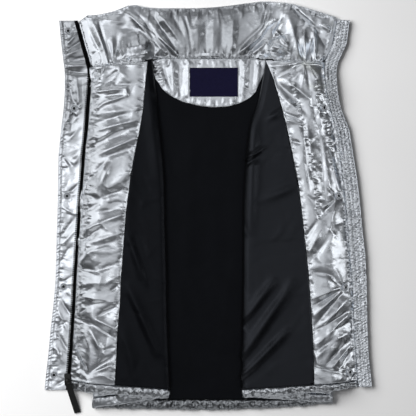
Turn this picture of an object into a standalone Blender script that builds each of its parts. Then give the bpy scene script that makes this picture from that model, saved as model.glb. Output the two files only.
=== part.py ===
"""A padded silver vest, laid open on its back on a flat surface.

The back lies lowest with its lining up. Each front is folded twice: its side half lies on the
back, and its centre half is turned out again over that, so that the lining, the facing and
the zip edge look up. The outer edges hang down to the surface beyond the folded stack.

World axes: X across the garment, Y up towards the collar, Z up from the surface. Sizes are in
millimetres and are scaled to metres when a mesh is made. "Out" is the distance from the centre
line, positive on both sides.
"""
import math
from collections import namedtuple

import bmesh
import bpy
from mathutils import Matrix, Vector

MM = 0.001
SEAM_GAP = 0.3
NECK_SEAM_GAP = 1.0

# Walls of the layers, from the surface up
BACK_WALL = 8.0
LINING_WALL = 1.4
SIDE_HALF_WALL = 7.0
FOLD_GAP = 1.4
CENTRE_HALF_WALL = 9.0
ZIP_EDGE_WALL = 4.0
COLLAR_EDGE_WALL = 3.5
FACING_WALL = 1.5
FACING_LOFT = 2.0

BACK_LINING_BASE = BACK_WALL + SEAM_GAP
BACK_LINING_TOP = BACK_LINING_BASE + LINING_WALL
SIDE_HALF_BASE = BACK_LINING_TOP + SEAM_GAP
SIDE_HALF_TOP = SIDE_HALF_BASE + SIDE_HALF_WALL
STACK_TOP = SIDE_HALF_TOP + FOLD_GAP

# The centre half hangs from the stack down to the surface within this reach
HANG_REACH = 55.0
HANG_REACH_AT_HEM = 40.0
HANG_NARROWS_FROM = -150.0
HANG_NARROWS_TO = -260.0

# Thinning of a padded wall towards its edges
SIDE_EDGE_INSET = 9.0
SIDE_EDGE_UNDER_LIFT = 3.0
SIDE_EDGE_TOP_LIFT = 1.4
SIDE_EDGE_PINCH = 0.45
GUARD_OVERHANG = 2.0
ZIP_EDGE_TAPER = 30.0
GUARD_EDGE_TAPER = 45.0

# Quilting of the back, one baffle for each half of the snaps' spacing
BAFFLE_PITCH = 77.0
BAFFLE_GROOVE_HALF = 7.0
BAFFLE_GROOVE_DEPTH = 2.5
FIRST_BAFFLE_Y = 196.0
BAFFLE_COUNT = 7

# Hem bands
HEM_GATHER = 14.0
HEM_GATHER_HEIGHT = 1.5

# Zip, slider and pull tab
TAPE_HALF = 3.0
TAPE_WALL = 1.0
CHAIN_HALF = 1.3
CHAIN_HEIGHT = 1.8
SLIDER_CENTRE = (-246.8, -301.5)
SLIDER_LENGTH = 20.0
SLIDER_HALF_WIDTH = 5.9
SLIDER_NECK_HALF_WIDTH = 5.0
SLIDER_PLATE = 1.5
SLIDER_FLANGE = 1.3
SLIDER_FLANGE_LIFT = 1.3
BRIDGE_HALF_WIDTH = 1.4
BRIDGE_WALL = 1.3
BRIDGE_HALF_SPAN = 4.6
HINGE_OVER_PLATE = 3.5
TAB_YAW = math.radians(16.5)
TAB_LENGTH = 61.0
TAB_HALF_WIDTH = 5.4
TAB_HALF_WALL = 1.0
TAB_WINDOW = (1.0, 7.4)
TAB_ARM = 2.0
TAB_FLOOR_CLEARANCE = 0.3

# Snaps
SNAP_RADIUS = 6.5
SNAP_HOLE_RADIUS = 2.6
SNAP_HEIGHT = 2.0
SNAP_SEGMENTS = 16

# Storm flap and zip guard
FLAP_WALL = 3.0
FLAP_PUCKER_PITCH = 21.0
FLAP_PUCKER_HEIGHT = 1.2

# Label and hanger loop
LABEL_LEFT, LABEL_RIGHT = -32.2, 52.3
LABEL_LOW, LABEL_HIGH = 194.7, 245.4
LABEL_WALL = 0.8
LABEL_MARGIN = 5.0
LOOP_LEFT, LOOP_RIGHT = -12.5, 21.0
LOOP_LOW, LOOP_HIGH = 265.5, 271.5
LOOP_RISE = 3.0
LOOP_WALL = 1.2

# Outer edge of each front, and the line where its storm flap or guard starts
StripRow = namedtuple("StripRow", "y edge inner")
LEFT_STRIP = [
    StripRow(329, 262.0, 231.7),
    StripRow(287, 258.0, 220.0),
    StripRow(255, 254.0, 211.0),
    StripRow(243, 252.5, 208.5),
    StripRow(232, 252.0, 208.0),
    StripRow(206, 252.0, 210.0),
    StripRow(175, 254.0, 213.0),
    StripRow(136, 259.0, 216.0),
    StripRow(92, 263.0, 220.0),
    StripRow(49, 264.0, 223.0),
    StripRow(5, 264.5, 226.5),
    StripRow(-39, 266.0, 229.0),
    StripRow(-83, 267.0, 232.0),
    StripRow(-126, 268.0, 235.0),
    StripRow(-170, 272.0, 237.0),
    StripRow(-214, 277.0, 240.0),
    StripRow(-258, 281.0, 243.0),
    StripRow(-303, 286.0, 246.5),
    StripRow(-320, 287.5, 248.5),
]
RIGHT_STRIP = [
    StripRow(329, 248.5, 226.0),
    StripRow(287, 243.0, 218.0),
    StripRow(255, 228.0, 204.0),
    StripRow(243, 225.5, 203.0),
    StripRow(232, 225.0, 203.0),
    StripRow(206, 227.0, 206.0),
    StripRow(175, 233.0, 213.0),
    StripRow(136, 248.0, 224.0),
    StripRow(92, 255.0, 231.0),
    StripRow(49, 262.0, 236.0),
    StripRow(5, 267.0, 241.0),
    StripRow(-39, 271.0, 245.0),
    StripRow(-83, 276.0, 248.0),
    StripRow(-126, 278.0, 252.0),
    StripRow(-170, 279.0, 254.0),
    StripRow(-214, 280.0, 256.0),
    StripRow(-258, 282.0, 259.0),
    StripRow(-302, 286.5, 262.5),
    StripRow(-314, 287.5, 264.0),
]

# Inner edge of the facing, the front's fold and the side fold (armhole higher up)
PanelRow = namedtuple("PanelRow", "y facing fold side")
LEFT_PANEL = [
    PanelRow(255, 112.5, 99.0, 118.0),
    PanelRow(243, 112.0, 97.5, 134.0),
    PanelRow(232, 111.0, 96.0, 150.0),
    PanelRow(206, 110.0, 93.0, 180.0),
    PanelRow(175, 113.0, 88.0, 177.0),
    PanelRow(136, 119.0, 84.0, 172.0),
    PanelRow(92, 128.0, 79.0, 173.0),
    PanelRow(49, 135.0, 76.0, 180.0),
    PanelRow(5, 141.0, 75.0, 187.0),
    PanelRow(-39, 145.0, 74.0, 191.0),
    PanelRow(-83, 149.0, 73.0, 193.0),
    PanelRow(-126, 152.0, 72.0, 195.0),
    PanelRow(-170, 154.0, 71.0, 197.0),
    PanelRow(-214, 158.0, 70.0, 199.0),
    PanelRow(-258, 160.0, 68.0, 201.0),
    PanelRow(-303, 162.5, 66.0, 203.0),
]
RIGHT_PANEL = [
    PanelRow(255, 115.5, 102.0, 121.0),
    PanelRow(243, 115.0, 100.0, 138.0),
    PanelRow(232, 115.0, 98.0, 153.0),
    PanelRow(206, 119.0, 93.0, 186.0),
    PanelRow(175, 128.0, 86.0, 182.0),
    PanelRow(136, 138.0, 74.0, 178.0),
    PanelRow(92, 147.0, 67.0, 180.0),
    PanelRow(49, 156.0, 64.0, 187.0),
    PanelRow(5, 162.0, 62.0, 195.0),
    PanelRow(-39, 167.0, 61.5, 201.0),
    PanelRow(-83, 172.0, 61.0, 205.0),
    PanelRow(-126, 176.0, 61.0, 208.0),
    PanelRow(-170, 179.0, 60.5, 211.0),
    PanelRow(-214, 182.0, 60.0, 213.0),
    PanelRow(-258, 184.0, 59.0, 216.0),
    PanelRow(-302, 184.5, 58.5, 219.0),
]

# How far the hem runs below its level at the zip edge, at the front's fold and the side fold
HemDrop = namedtuple("HemDrop", "seam_fold seam_side edge_fold edge_side")
LEFT_HEM = HemDrop(13.0, 30.0, 13.0, 31.0)
RIGHT_HEM = HemDrop(14.0, 26.0, 18.0, 28.0)
HEM_DROP_FROM = 92.0

# Collar, from the left zip to the right edge: its neck seam and its top edge
CollarRow = namedtuple("CollarRow", "seam_x seam_y top_x top_y wall")
COLLAR = [
    CollarRow(-208.7, 247.5, -230.3, 326.0, COLLAR_EDGE_WALL),
    CollarRow(-203.8, 247.8, -225.6, 328.0, COLLAR_EDGE_WALL),
    CollarRow(-189.0, 250.0, -212.0, 338.0, 7.5),
    CollarRow(-169.0, 251.5, -191.0, 339.0, 8.5),
    CollarRow(-147.0, 251.5, -165.0, 345.0, 9.0),
    CollarRow(-126.0, 253.0, -140.0, 355.0, 9.0),
    CollarRow(-114.0, 256.0, -126.0, 356.0, 9.0),
    CollarRow(-106.0, 258.5, -119.0, 354.0, 9.0),
    CollarRow(-98.0, 261.5, -110.0, 352.0, 9.0),
    CollarRow(-84.0, 263.0, -96.0, 350.5, 9.0),
    CollarRow(-62.0, 263.0, -68.0, 350.0, 9.0),
    CollarRow(-40.0, 263.0, -40.0, 350.0, 9.0),
    CollarRow(-18.0, 263.0, -14.0, 350.5, 9.0),
    CollarRow(4.0, 263.0, 12.0, 352.0, 9.0),
    CollarRow(26.0, 263.0, 40.0, 355.0, 9.0),
    CollarRow(48.0, 263.0, 68.0, 359.0, 9.0),
    CollarRow(70.0, 263.0, 92.0, 361.8, 9.0),
    CollarRow(86.0, 263.0, 108.0, 361.8, 9.0),
    CollarRow(97.0, 262.5, 118.0, 361.0, 9.0),
    CollarRow(106.0, 261.0, 126.0, 360.5, 9.0),
    CollarRow(115.0, 259.5, 134.0, 360.0, 9.0),
    CollarRow(130.0, 257.0, 150.0, 357.5, 9.0),
    CollarRow(150.0, 255.0, 174.0, 350.5, 9.0),
    CollarRow(170.0, 254.0, 197.0, 343.5, 8.5),
    CollarRow(188.0, 255.0, 212.0, 339.0, 7.0),
    CollarRow(202.0, 256.0, 225.0, 335.0, 5.5),
    CollarRow(223.0, 253.0, 245.0, 328.0, COLLAR_EDGE_WALL),
]
COLLAR_STEPS = 4
COLLAR_STEP_FROM = 97.0
COLLAR_STEP_TO = 114.0

# Neck facing: lower edge of the half-moon on the back lining
EdgePoint = namedtuple("EdgePoint", "x y")
NECK_SEAM_Y = 262.0
NECK_FACING_LOW = [
    EdgePoint(-98.0, 244.0),
    EdgePoint(-94.0, 230.0),
    EdgePoint(-87.0, 217.0),
    EdgePoint(-77.0, 204.0),
    EdgePoint(-63.0, 194.0),
    EdgePoint(-42.0, 185.0),
    EdgePoint(-16.0, 179.0),
    EdgePoint(10.0, 176.0),
    EdgePoint(37.0, 178.0),
    EdgePoint(58.0, 184.0),
    EdgePoint(73.0, 192.0),
    EdgePoint(86.0, 206.0),
    EdgePoint(92.0, 224.0),
    EdgePoint(98.0, 243.0),
]
NECK_GATHER_PITCH = 15.0
NECK_GATHER_HEIGHT = 1.3

# Back: half its width at the neck seam, and its hem below its own panel
BACK_NECK_HALF = 93.0
BACK_LINING_CLEARANCE = 1.5
BACK_LINING_ROWS = 20
BACK_HEM_SEAM_Y = -337.0
BACK_HEM = [
    EdgePoint(-203.0, -351.5),
    EdgePoint(-119.0, -353.5),
    EdgePoint(0.0, -355.5),
    EdgePoint(108.0, -352.5),
    EdgePoint(219.0, -344.0),
]

# Largest folds: a soft ridge or trough along a line
Fold = namedtuple("Fold", "x0 y0 x1 y1 width height")
LEFT_FACING_FOLDS = [
    Fold(-187, 210, -155, 239, 7, -2.4),
    Fold(-179, 188, -146, 205, 7, 2.6),
    Fold(-187, 176, -145, 196, 7, -2.2),
    Fold(-210, 101, -130, 136, 9, -2.4),
    Fold(-197, 63, -170, 84, 7, -2.0),
    Fold(-192, 33, -175, 81, 8, 2.2),
    Fold(-217, 12, -142, 31, 8, -2.2),
    Fold(-196, -21, -144, 15, 8, -2.0),
    Fold(-221, -58, -190, -36, 8, -2.0),
    Fold(-224, -107, -190, -109, 8, -2.0),
    Fold(-197, -191, -158, -177, 9, -2.2),
    Fold(-228, -195, -161, -226, 8, -2.2),
    Fold(-203, -212, -184, -252, 9, 2.2),
    Fold(-233, -259, -210, -292, 8, -2.0),
    Fold(-210, -292, -162, -265, 8, -2.2),
]
RIGHT_FACING_FOLDS = [
    Fold(167, 253, 148, 214, 7, -2.4),
    Fold(167, 253, 176, 205, 8, 2.4),
    Fold(122, 217, 177, 171, 8, -2.4),
    Fold(150, 160, 195, 125, 9, -2.0),
    Fold(170, 119, 187, -30, 11, 2.4),
    Fold(170, 60, 205, 10, 8, -2.0),
    Fold(229, -137, 184, -174, 8, -2.4),
    Fold(234, -145, 184, -210, 8, -2.2),
    Fold(243, -184, 186, -233, 8, -2.2),
    Fold(187, -119, 227, -133, 8, 2.0),
    Fold(252, -231, 213, -282, 8, -2.2),
    Fold(176, -60, 215, -95, 9, -1.8),
]
COLLAR_FOLDS = [
    Fold(-137, 350, -46, 262, 8, 2.6),
    Fold(-118, 352, -34, 270, 6, -2.6),
    Fold(-98, 350, -22, 284, 8, 2.2),
    Fold(-169, 254, -198, 322, 9, 2.4),
    Fold(-169, 254, -150, 325, 8, -2.4),
    Fold(-20, 268, 10, 345, 9, -2.0),
    Fold(46, 340, 46, 266, 8, 2.6),
    Fold(73, 264, 129, 332, 8, -3.0),
    Fold(58, 268, 112, 350, 8, 2.4),
    Fold(166, 348, 198, 310, 8, -2.6),
    Fold(167, 256, 178, 330, 9, 2.2),
]
LEFT_LINING_FOLDS = [
    Fold(-137, -139, -90, -249, 14, 1.4),
    Fold(-137, -53, -110, -126, 14, 1.2),
    Fold(-100, 120, -86, 20, 10, -1.0),
]
RIGHT_LINING_FOLDS = [
    Fold(79, 170, 72, -290, 9, 1.6),
    Fold(96, 101, 140, 101, 6, -1.2),
    Fold(65, -191, 114, -126, 12, 1.4),
    Fold(60, -257, 143, -132, 14, 1.4),
    Fold(56, -295, 135, -214, 14, 1.4),
]
BACK_LINING_FOLDS = [
    Fold(-30, 120, -45, -300, 18, 0.7),
    Fold(25, 100, 10, -280, 16, 0.6),
]

SnapPlace = namedtuple("SnapPlace", "x y")
LEFT_SNAPS = [
    SnapPlace(-246.0, 311.0),
    SnapPlace(-235.5, 174.6),
    SnapPlace(-248.0, 20.6),
    SnapPlace(-254.0, -138.7),
    SnapPlace(-271.0, -294.0),
]
RIGHT_SNAPS = [
    SnapPlace(211.0, 316.0),
    SnapPlace(202.0, 174.6),
    SnapPlace(228.0, 20.9),
    SnapPlace(240.0, -139.4),
    SnapPlace(248.0, -288.0),
]

# Finishes: colour, metallic and roughness of each material
Finish = namedtuple("Finish", "colour metallic roughness")
FINISHES = {
    "silver_cloth": Finish((0.62, 0.63, 0.65), 0.85, 0.3),
    "black_lining": Finish((0.012, 0.012, 0.015), 0.0, 0.55),
    "navy_label": Finish((0.011, 0.009, 0.06), 0.0, 0.8),
    "black_zip": Finish((0.01, 0.01, 0.012), 0.0, 0.5),
    "snap_metal": Finish((0.5, 0.5, 0.52), 1.0, 0.25),
}


def blend(start, end, part):
    """The value a given part of the way from start to end."""
    return start + (end - start) * part


def clamp(value):
    return max(0.0, min(1.0, value))


def smooth(value):
    """A soft step from 0 to 1."""
    value = clamp(value)
    return value * value * (3.0 - 2.0 * value)


def table_row(rows, y):
    """The row of a table at height y, between the two rows around it."""
    if y >= rows[0].y:
        return rows[0]
    for upper, lower in zip(rows, rows[1:]):
        if y >= lower.y:
            part = (upper.y - y) / (upper.y - lower.y)
            return upper._make(blend(a, b, part) for a, b in zip(upper, lower))
    return rows[-1]


def edge_height(points, x):
    """The y of a line of points at x."""
    if x <= points[0].x:
        return points[0].y
    for left, right in zip(points, points[1:]):
        if x <= right.x:
            return blend(left.y, right.y, (x - left.x) / (right.x - left.x))
    return points[-1].y


NECK_SEAM = [EdgePoint(row.seam_x, row.seam_y) for row in COLLAR]


def segment_distance(x, y, x0, y0, x1, y1):
    """Distance of a point from a segment, and how far along it the nearest point is."""
    dx = x1 - x0
    dy = y1 - y0
    along = clamp(((x - x0) * dx + (y - y0) * dy) / (dx * dx + dy * dy))
    return math.hypot(x - x0 - along * dx, y - y0 - along * dy), along


def fold_height(folds, x, y):
    """Height that the folds add at x, y. Each fades out towards its ends."""
    total = 0.0
    for fold in folds:
        distance, along = segment_distance(x, y, fold.x0, fold.y0, fold.x1, fold.y1)
        taper = math.sin(math.pi * blend(0.12, 0.88, along))
        total += fold.height * taper * math.exp(-(distance / fold.width) ** 2)
    return total


def stack_outline(panel):
    """Outer edge of the folded stack, from the neck to the hem, as (out, y) points."""
    outline = [(0.0, panel[0].y + 8.0), (panel[0].side - 8.0, panel[0].y + 3.0)]
    outline.extend((row.side, row.y) for row in panel)
    outline.append((panel[-1].side + 1.0, BACK_HEM_SEAM_Y))
    return outline


STACK_OUTLINES = {-1: stack_outline(LEFT_PANEL), 1: stack_outline(RIGHT_PANEL)}


def hang_height(x, y):
    """Underside of the cloth that lies on the stack and hangs to the surface beyond it."""
    side = 1 if x > 0 else -1
    out = abs(x)
    outline = STACK_OUTLINES[side]
    panel = RIGHT_PANEL if side > 0 else LEFT_PANEL
    inside = y <= panel[0].y and out <= table_row(panel, y).side
    distance = 0.0
    if not inside:
        distance = min(segment_distance(out, y, *a, *b)[0] for a, b in zip(outline, outline[1:]))
    narrowing = smooth((HANG_NARROWS_FROM - y) / (HANG_NARROWS_FROM - HANG_NARROWS_TO))
    reach = blend(HANG_REACH, HANG_REACH_AT_HEM, narrowing)
    return STACK_TOP * (1.0 - smooth(distance / reach))


def collar_height(x, y):
    """Underside of the collar: on the surface behind the neck, over the stack in front."""
    step = smooth((abs(x) - COLLAR_STEP_FROM) / (COLLAR_STEP_TO - COLLAR_STEP_FROM))
    return hang_height(x, y) * step


def material(finish_name):
    """The named material, made the first time it is asked for."""
    existing = bpy.data.materials.get(finish_name)
    if existing:
        return existing
    finish = FINISHES[finish_name]
    made = bpy.data.materials.new(finish_name)
    made.use_nodes = True
    shader = made.node_tree.nodes["Principled BSDF"]
    shader.inputs["Base Color"].default_value = (*finish.colour, 1.0)
    shader.inputs["Metallic"].default_value = finish.metallic
    shader.inputs["Roughness"].default_value = finish.roughness
    made.diffuse_color = (*finish.colour, 1.0)
    return made


def add_object(name, points, faces, finish_name, matrix=None):
    """One closed solid from points in millimetres, facing outwards."""
    mesh = bpy.data.meshes.new(name)
    shape = bmesh.new()
    place = matrix or Matrix.Identity(4)
    verts = [shape.verts.new((place @ Vector(point)) * MM) for point in points]
    for face in faces:
        shape.faces.new([verts[index] for index in face])
    bmesh.ops.recalc_face_normals(shape, faces=shape.faces)
    for face in shape.faces:
        face.smooth = True
    shape.to_mesh(mesh)
    shape.free()
    mesh.materials.append(material(finish_name))
    part = bpy.data.objects.new(name, mesh)
    bpy.context.scene.collection.objects.link(part)
    return part


def wall(name, shown, plain, finish_name, row_step=1, col_step=1):
    """A closed wall between two grids of points.

    shown is the finer grid. A point of plain lies under every row_step-th row and
    col_step-th column of it.
    """
    rows = len(shown)
    cols = len(shown[0])
    plain_rows = len(plain)
    plain_cols = len(plain[0])
    points = [point for row in shown for point in row]
    first_plain = len(points)
    points.extend(point for row in plain for point in row)

    def upper(row, col):
        return row * cols + col

    def lower(row, col):
        return first_plain + row * plain_cols + col

    faces = []
    for row in range(rows - 1):
        for col in range(cols - 1):
            a, b = upper(row, col), upper(row, col + 1)
            c, d = upper(row + 1, col + 1), upper(row + 1, col)
            faces += [(a, b, c), (a, c, d)]
    for row in range(plain_rows - 1):
        for col in range(plain_cols - 1):
            a, b = lower(row, col), lower(row, col + 1)
            c, d = lower(row + 1, col + 1), lower(row + 1, col)
            faces += [(a, c, b), (a, d, c)]
    for row in range(plain_rows - 1):
        span = range(row * row_step, (row + 1) * row_step + 1)
        for col, plain_col in ((0, 0), (cols - 1, plain_cols - 1)):
            run = [upper(index, col) for index in span]
            faces.append(run + [lower(row + 1, plain_col), lower(row, plain_col)])
    for col in range(plain_cols - 1):
        span = range(col * col_step, (col + 1) * col_step + 1)
        for row, plain_row in ((0, 0), (rows - 1, plain_rows - 1)):
            run = [upper(row, index) for index in span]
            faces.append(run + [lower(plain_row, col + 1), lower(plain_row, col)])
    return add_object(name, points, faces, finish_name)


def refine(grid, row_step, col_step):
    """The same surface with more rows and columns between the given ones."""
    finer = []
    for row in range((len(grid) - 1) * row_step + 1):
        row_at = min(row // row_step, len(grid) - 2)
        row_part = row / row_step - row_at
        line = []
        for col in range((len(grid[0]) - 1) * col_step + 1):
            col_at = min(col // col_step, len(grid[0]) - 2)
            col_part = col / col_step - col_at
            upper = grid[row_at][col_at].lerp(grid[row_at][col_at + 1], col_part)
            lower = grid[row_at + 1][col_at].lerp(grid[row_at + 1][col_at + 1], col_part)
            line.append(upper.lerp(lower, row_part))
        finer.append(line)
    return finer


def edge_fade(row, col, rows, cols, reach_rows, reach_cols):
    """0 at the edges of a grid and 1 away from them."""
    from_row = min(row, rows - 1 - row) / reach_rows
    from_col = min(col, cols - 1 - col) / reach_cols
    return smooth(from_row) * smooth(from_col)


def snap_fade(x, y):
    """0 under a snap or the slider and 1 away from them, where the cloth lies flat."""
    nearest = min(math.hypot(x - snap.x, y - snap.y) for snap in LEFT_SNAPS + RIGHT_SNAPS)
    slider = math.hypot(x - SLIDER_CENTRE[0], y - SLIDER_CENTRE[1]) - SLIDER_LENGTH / 2
    return smooth((min(nearest - SNAP_RADIUS, slider) - 2.0) / 12.0)


def loft_over(grid, thickness, bulge, folds, row_step, col_step):
    """The outer side of a thin wall on a grid: its thickness, its loft and its folds."""
    finer = refine(grid, row_step, col_step)
    rows = len(finer)
    cols = len(finer[0])
    outer = []
    for row, line in enumerate(finer):
        raised = []
        for col, point in enumerate(line):
            fade = edge_fade(row, col, rows, cols, 2.0, 2.0)
            relief = (bulge + fold_height(folds, point.x, point.y)) * fade
            relief *= snap_fade(point.x, point.y)
            lift = max(thickness * 0.7, thickness + relief)
            raised.append(point + Vector((0.0, 0.0, lift)))
        outer.append(raised)
    return outer


def raised(grid, height):
    """A grid moved straight up."""
    return [[point + Vector((0.0, 0.0, height)) for point in line] for line in grid]


def surface_height(grid, x, y):
    """Height of a grid's surface at x, y."""
    for upper, lower in zip(grid, grid[1:]):
        for col in range(len(upper) - 1):
            corners = (upper[col], upper[col + 1], lower[col + 1], lower[col])
            for a, b, c in (corners[:3], (corners[0], corners[2], corners[3])):
                area = (b.x - a.x) * (c.y - a.y) - (c.x - a.x) * (b.y - a.y)
                if abs(area) < 1e-9:
                    continue
                u = ((x - a.x) * (c.y - a.y) - (c.x - a.x) * (y - a.y)) / area
                v = ((b.x - a.x) * (y - a.y) - (x - a.x) * (b.y - a.y)) / area
                if u >= -1e-6 and v >= -1e-6 and u + v <= 1.0 + 1e-6:
                    return a.z + u * (b.z - a.z) + v * (c.z - a.z)
    raise ValueError("no surface there")


class Front:
    """One front's folded path: a grid of its lining side and one of its outer side."""

    FOLD_ANGLES = (-90, -45, -15, 15, 50, 90)
    SIDE_COLUMNS = 4
    LINING_PARTS = (0.33, 0.67)
    FACING_PARTS = (0.0, 0.2, 0.4, 0.6, 0.8, 1.0)

    def __init__(self, side, panel, strip, hem, taper):
        self.side = side
        self.panel = panel
        self.strip = strip
        self.hem = hem
        self.taper = taper
        self.hem_edge_y = strip[-1].y
        self.seam_y = panel[-1].y
        self.fold_centre_z = SIDE_HALF_TOP + FOLD_GAP / 2
        self.lower_radius = self.fold_centre_z - SIDE_HALF_BASE
        self.upper_radius = FOLD_GAP / 2 + CENTRE_HALF_WALL
        self.lining_side = []
        self.outer_side = []
        for row in panel:
            self.add_section(row.y, self.lining_side, self.outer_side)

    def fold_reach(self):
        """How far the middle of the rounded fold stands out from its centre."""
        return (self.lower_radius + self.upper_radius) / 2

    def facing_end(self, y):
        """Where the facing stops, at the zip tape or at the guard."""
        inner = table_row(self.strip, y).inner
        return inner - TAPE_HALF - SEAM_GAP if self.side < 0 else inner

    def wall_end(self, y):
        """Outer edge of the padded wall."""
        row = table_row(self.strip, y)
        return row.inner if self.side < 0 else row.edge - GUARD_OVERHANG

    def centre_wall(self, out, y):
        """Wall of the centre half, thinner towards the zip edge."""
        end = self.facing_end(y) if self.side < 0 else self.wall_end(y)
        return blend(ZIP_EDGE_WALL, CENTRE_HALF_WALL, smooth((end - out) / self.taper))

    def row_y(self, x, y, part, side_half):
        """A section's own y at a point: it follows the neck seam above and the hem below."""
        if y > 232.0:
            return y + (edge_height(NECK_SEAM, x) - NECK_SEAM_GAP - 255.0) * (y - 232.0) / 23.0
        weight = clamp((HEM_DROP_FROM - y) / (HEM_DROP_FROM - self.seam_y))
        beyond = clamp((self.seam_y - y) / (self.seam_y - self.hem_edge_y))
        fold = blend(self.hem.seam_fold, self.hem.edge_fold, beyond)
        side = blend(self.hem.seam_side, self.hem.edge_side, beyond)
        drop = blend(fold, side, part) if side_half else blend(0.0, fold, part)
        return y - drop * weight

    def place(self, out, y, z, part, side_half):
        x = self.side * out
        return Vector((x, self.row_y(x, y, part, side_half), z))

    def add_section(self, y, lining_side, outer_side):
        """One row of points: side half, rounded fold, then centre half out to its edge."""
        row = table_row(self.panel, y)
        centre = row.fold + self.fold_reach()
        lining = []
        outer = []
        for index in range(self.SIDE_COLUMNS - 1):
            inset = (0.0, 0.35, 0.7)[index]
            out = blend(row.side, centre, inset)
            pinch = SIDE_EDGE_PINCH if index == 0 else 0.0
            part = 1.0 - inset
            lining.append(self.place(out, y, SIDE_HALF_BASE, part, True))
            top = SIDE_HALF_TOP - pinch * SIDE_HALF_WALL
            outer.append(self.place(out, y, top, part, True))
        for angle in self.FOLD_ANGLES:
            turn = math.radians(angle)
            radius = blend(self.lower_radius, self.upper_radius, (angle + 90.0) / 180.0)
            z = self.fold_centre_z + radius * math.sin(turn)
            lining.append(self.place(centre - radius * math.cos(turn), y, z, 1.0, False))
            z = self.fold_centre_z + FOLD_GAP / 2 * math.sin(turn)
            out = centre - FOLD_GAP / 2 * math.cos(turn)
            outer.append(self.place(out, y, z, 1.0, False))
        end_y = self.row_y(self.side * self.wall_end(y), y, 0.0, False)
        end = self.wall_end(end_y)
        facing_end = self.facing_end(end_y)
        stops = [blend(centre, row.facing, part) for part in self.LINING_PARTS]
        stops += [blend(row.facing, facing_end, part) for part in self.FACING_PARTS]
        stops += [end] if self.side < 0 else [blend(facing_end, end, 0.5), end]
        for out in stops:
            part = (end - out) / (end - row.fold)
            ground = self.place(out, y, 0.0, part, False)
            ground.z = hang_height(ground.x, ground.y)
            outer.append(ground)
            lining.append(ground + Vector((0.0, 0.0, self.centre_wall(out, end_y))))
        lining_side.append(lining)
        outer_side.append(outer)

    def columns(self, grid, first, last):
        return [line[first:last + 1] for line in grid]

    @property
    def first_lining(self):
        """Column where the lining starts, low on the rounded fold."""
        return self.SIDE_COLUMNS

    @property
    def first_facing(self):
        """Column where the lining ends and the facing starts."""
        return self.SIDE_COLUMNS - 1 + len(self.FOLD_ANGLES) + len(self.LINING_PARTS)

    @property
    def last_facing(self):
        return self.first_facing + len(self.FACING_PARTS) - 1


def shift_column(grid, col, dx):
    """Move one column of a grid across, to part it from its neighbour."""
    for line in grid:
        line[col] = line[col] + Vector((dx, 0.0, 0.0))


def build_front(prefix, front, facing_folds, lining_folds):
    """Shell, lining and facing of one front. Returns the facing's shown surface."""
    wall(f"{prefix}_shell", front.lining_side, front.outer_side, "silver_cloth")

    facing = front.columns(front.lining_side, front.first_facing, front.last_facing)
    facing = raised(facing, SEAM_GAP)
    shift_column(facing, 0, front.side * SEAM_GAP / 2)
    shown = loft_over(facing, FACING_WALL, FACING_LOFT, facing_folds, 4, 3)
    wall(f"{prefix}_facing", shown, facing, "silver_cloth", 4, 3)

    under = front.columns(front.lining_side, front.first_lining, front.first_facing)
    lining = []
    for line in under:
        lining.append([point + lining_normal(front, col) * SEAM_GAP for col, point in enumerate(line)])
    shift_column(lining, -1, -front.side * SEAM_GAP / 2)
    build_lining(f"{prefix}_lining", front, lining, lining_folds)
    return shown


def lining_normal(front, col):
    """Direction away from the padded wall: outwards round the fold, then straight up."""
    last_turn = len(front.FOLD_ANGLES) - 2
    if col >= last_turn:
        return Vector((0.0, 0.0, 1.0))
    turn = math.radians(front.FOLD_ANGLES[col + 1])
    return Vector((-front.side * math.cos(turn), 0.0, math.sin(turn)))


def build_lining(name, front, lining, folds):
    """The thin lining wall over the centre half and round the fold."""
    rows = refine(lining, 2, 2)
    shown = []
    for row, line in enumerate(rows):
        moved = []
        for col, point in enumerate(line):
            coarse = col / 2
            low = int(coarse)
            high = min(low + 1, len(lining[0]) - 1)
            normal = lining_normal(front, low)
            normal = normal.lerp(lining_normal(front, high), coarse - low)
            fade = edge_fade(row, col, len(rows), len(line), 2.0, 3.0)
            relief = fold_height(folds, point.x, point.y) * fade
            lift = max(LINING_WALL * 0.7, LINING_WALL + relief)
            moved.append(point + normal.normalized() * lift)
        shown.append(moved)
    wall(name, shown, lining, "black_lining", 2, 2)


def build_hem_front(name, front):
    """Gathered band along a front's hem, folded with it."""
    gap_y = front.seam_y - SEAM_GAP
    middle_y = (front.seam_y + front.hem_edge_y) / 2
    stations = (gap_y, middle_y, front.hem_edge_y)
    lining_rows = []
    outer_rows = []
    for y in stations:
        front.add_section(y, lining_rows, outer_rows)
    last = front.last_facing + 1 if front.side < 0 else front.last_facing
    lining_rows = front.columns(lining_rows, 0, last)
    outer_rows = front.columns(outer_rows, 0, last)
    fine_lining, fine_outer = resample_band(lining_rows, outer_rows)
    cols = len(fine_lining[0])
    pinches = (0.0, 0.0, 0.30)
    for row, pinch in enumerate(pinches):
        for col in range(cols):
            upper = fine_lining[row][col]
            lower = fine_outer[row][col]
            on_top = upper.z > lower.z
            wave = 1.0 if col % 2 else 0.0
            near_fold = smooth((min(col, cols - 1 - col)) / 3.0)
            lift = HEM_GATHER_HEIGHT * wave * near_fold if row == 1 else 0.0
            thick = upper - lower
            if on_top:
                fine_lining[row][col] = upper - thick * pinch + Vector((0.0, 0.0, lift))
            else:
                fine_outer[row][col] = lower + thick * pinch
    wall(name, fine_lining, fine_outer, "silver_cloth")


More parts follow.
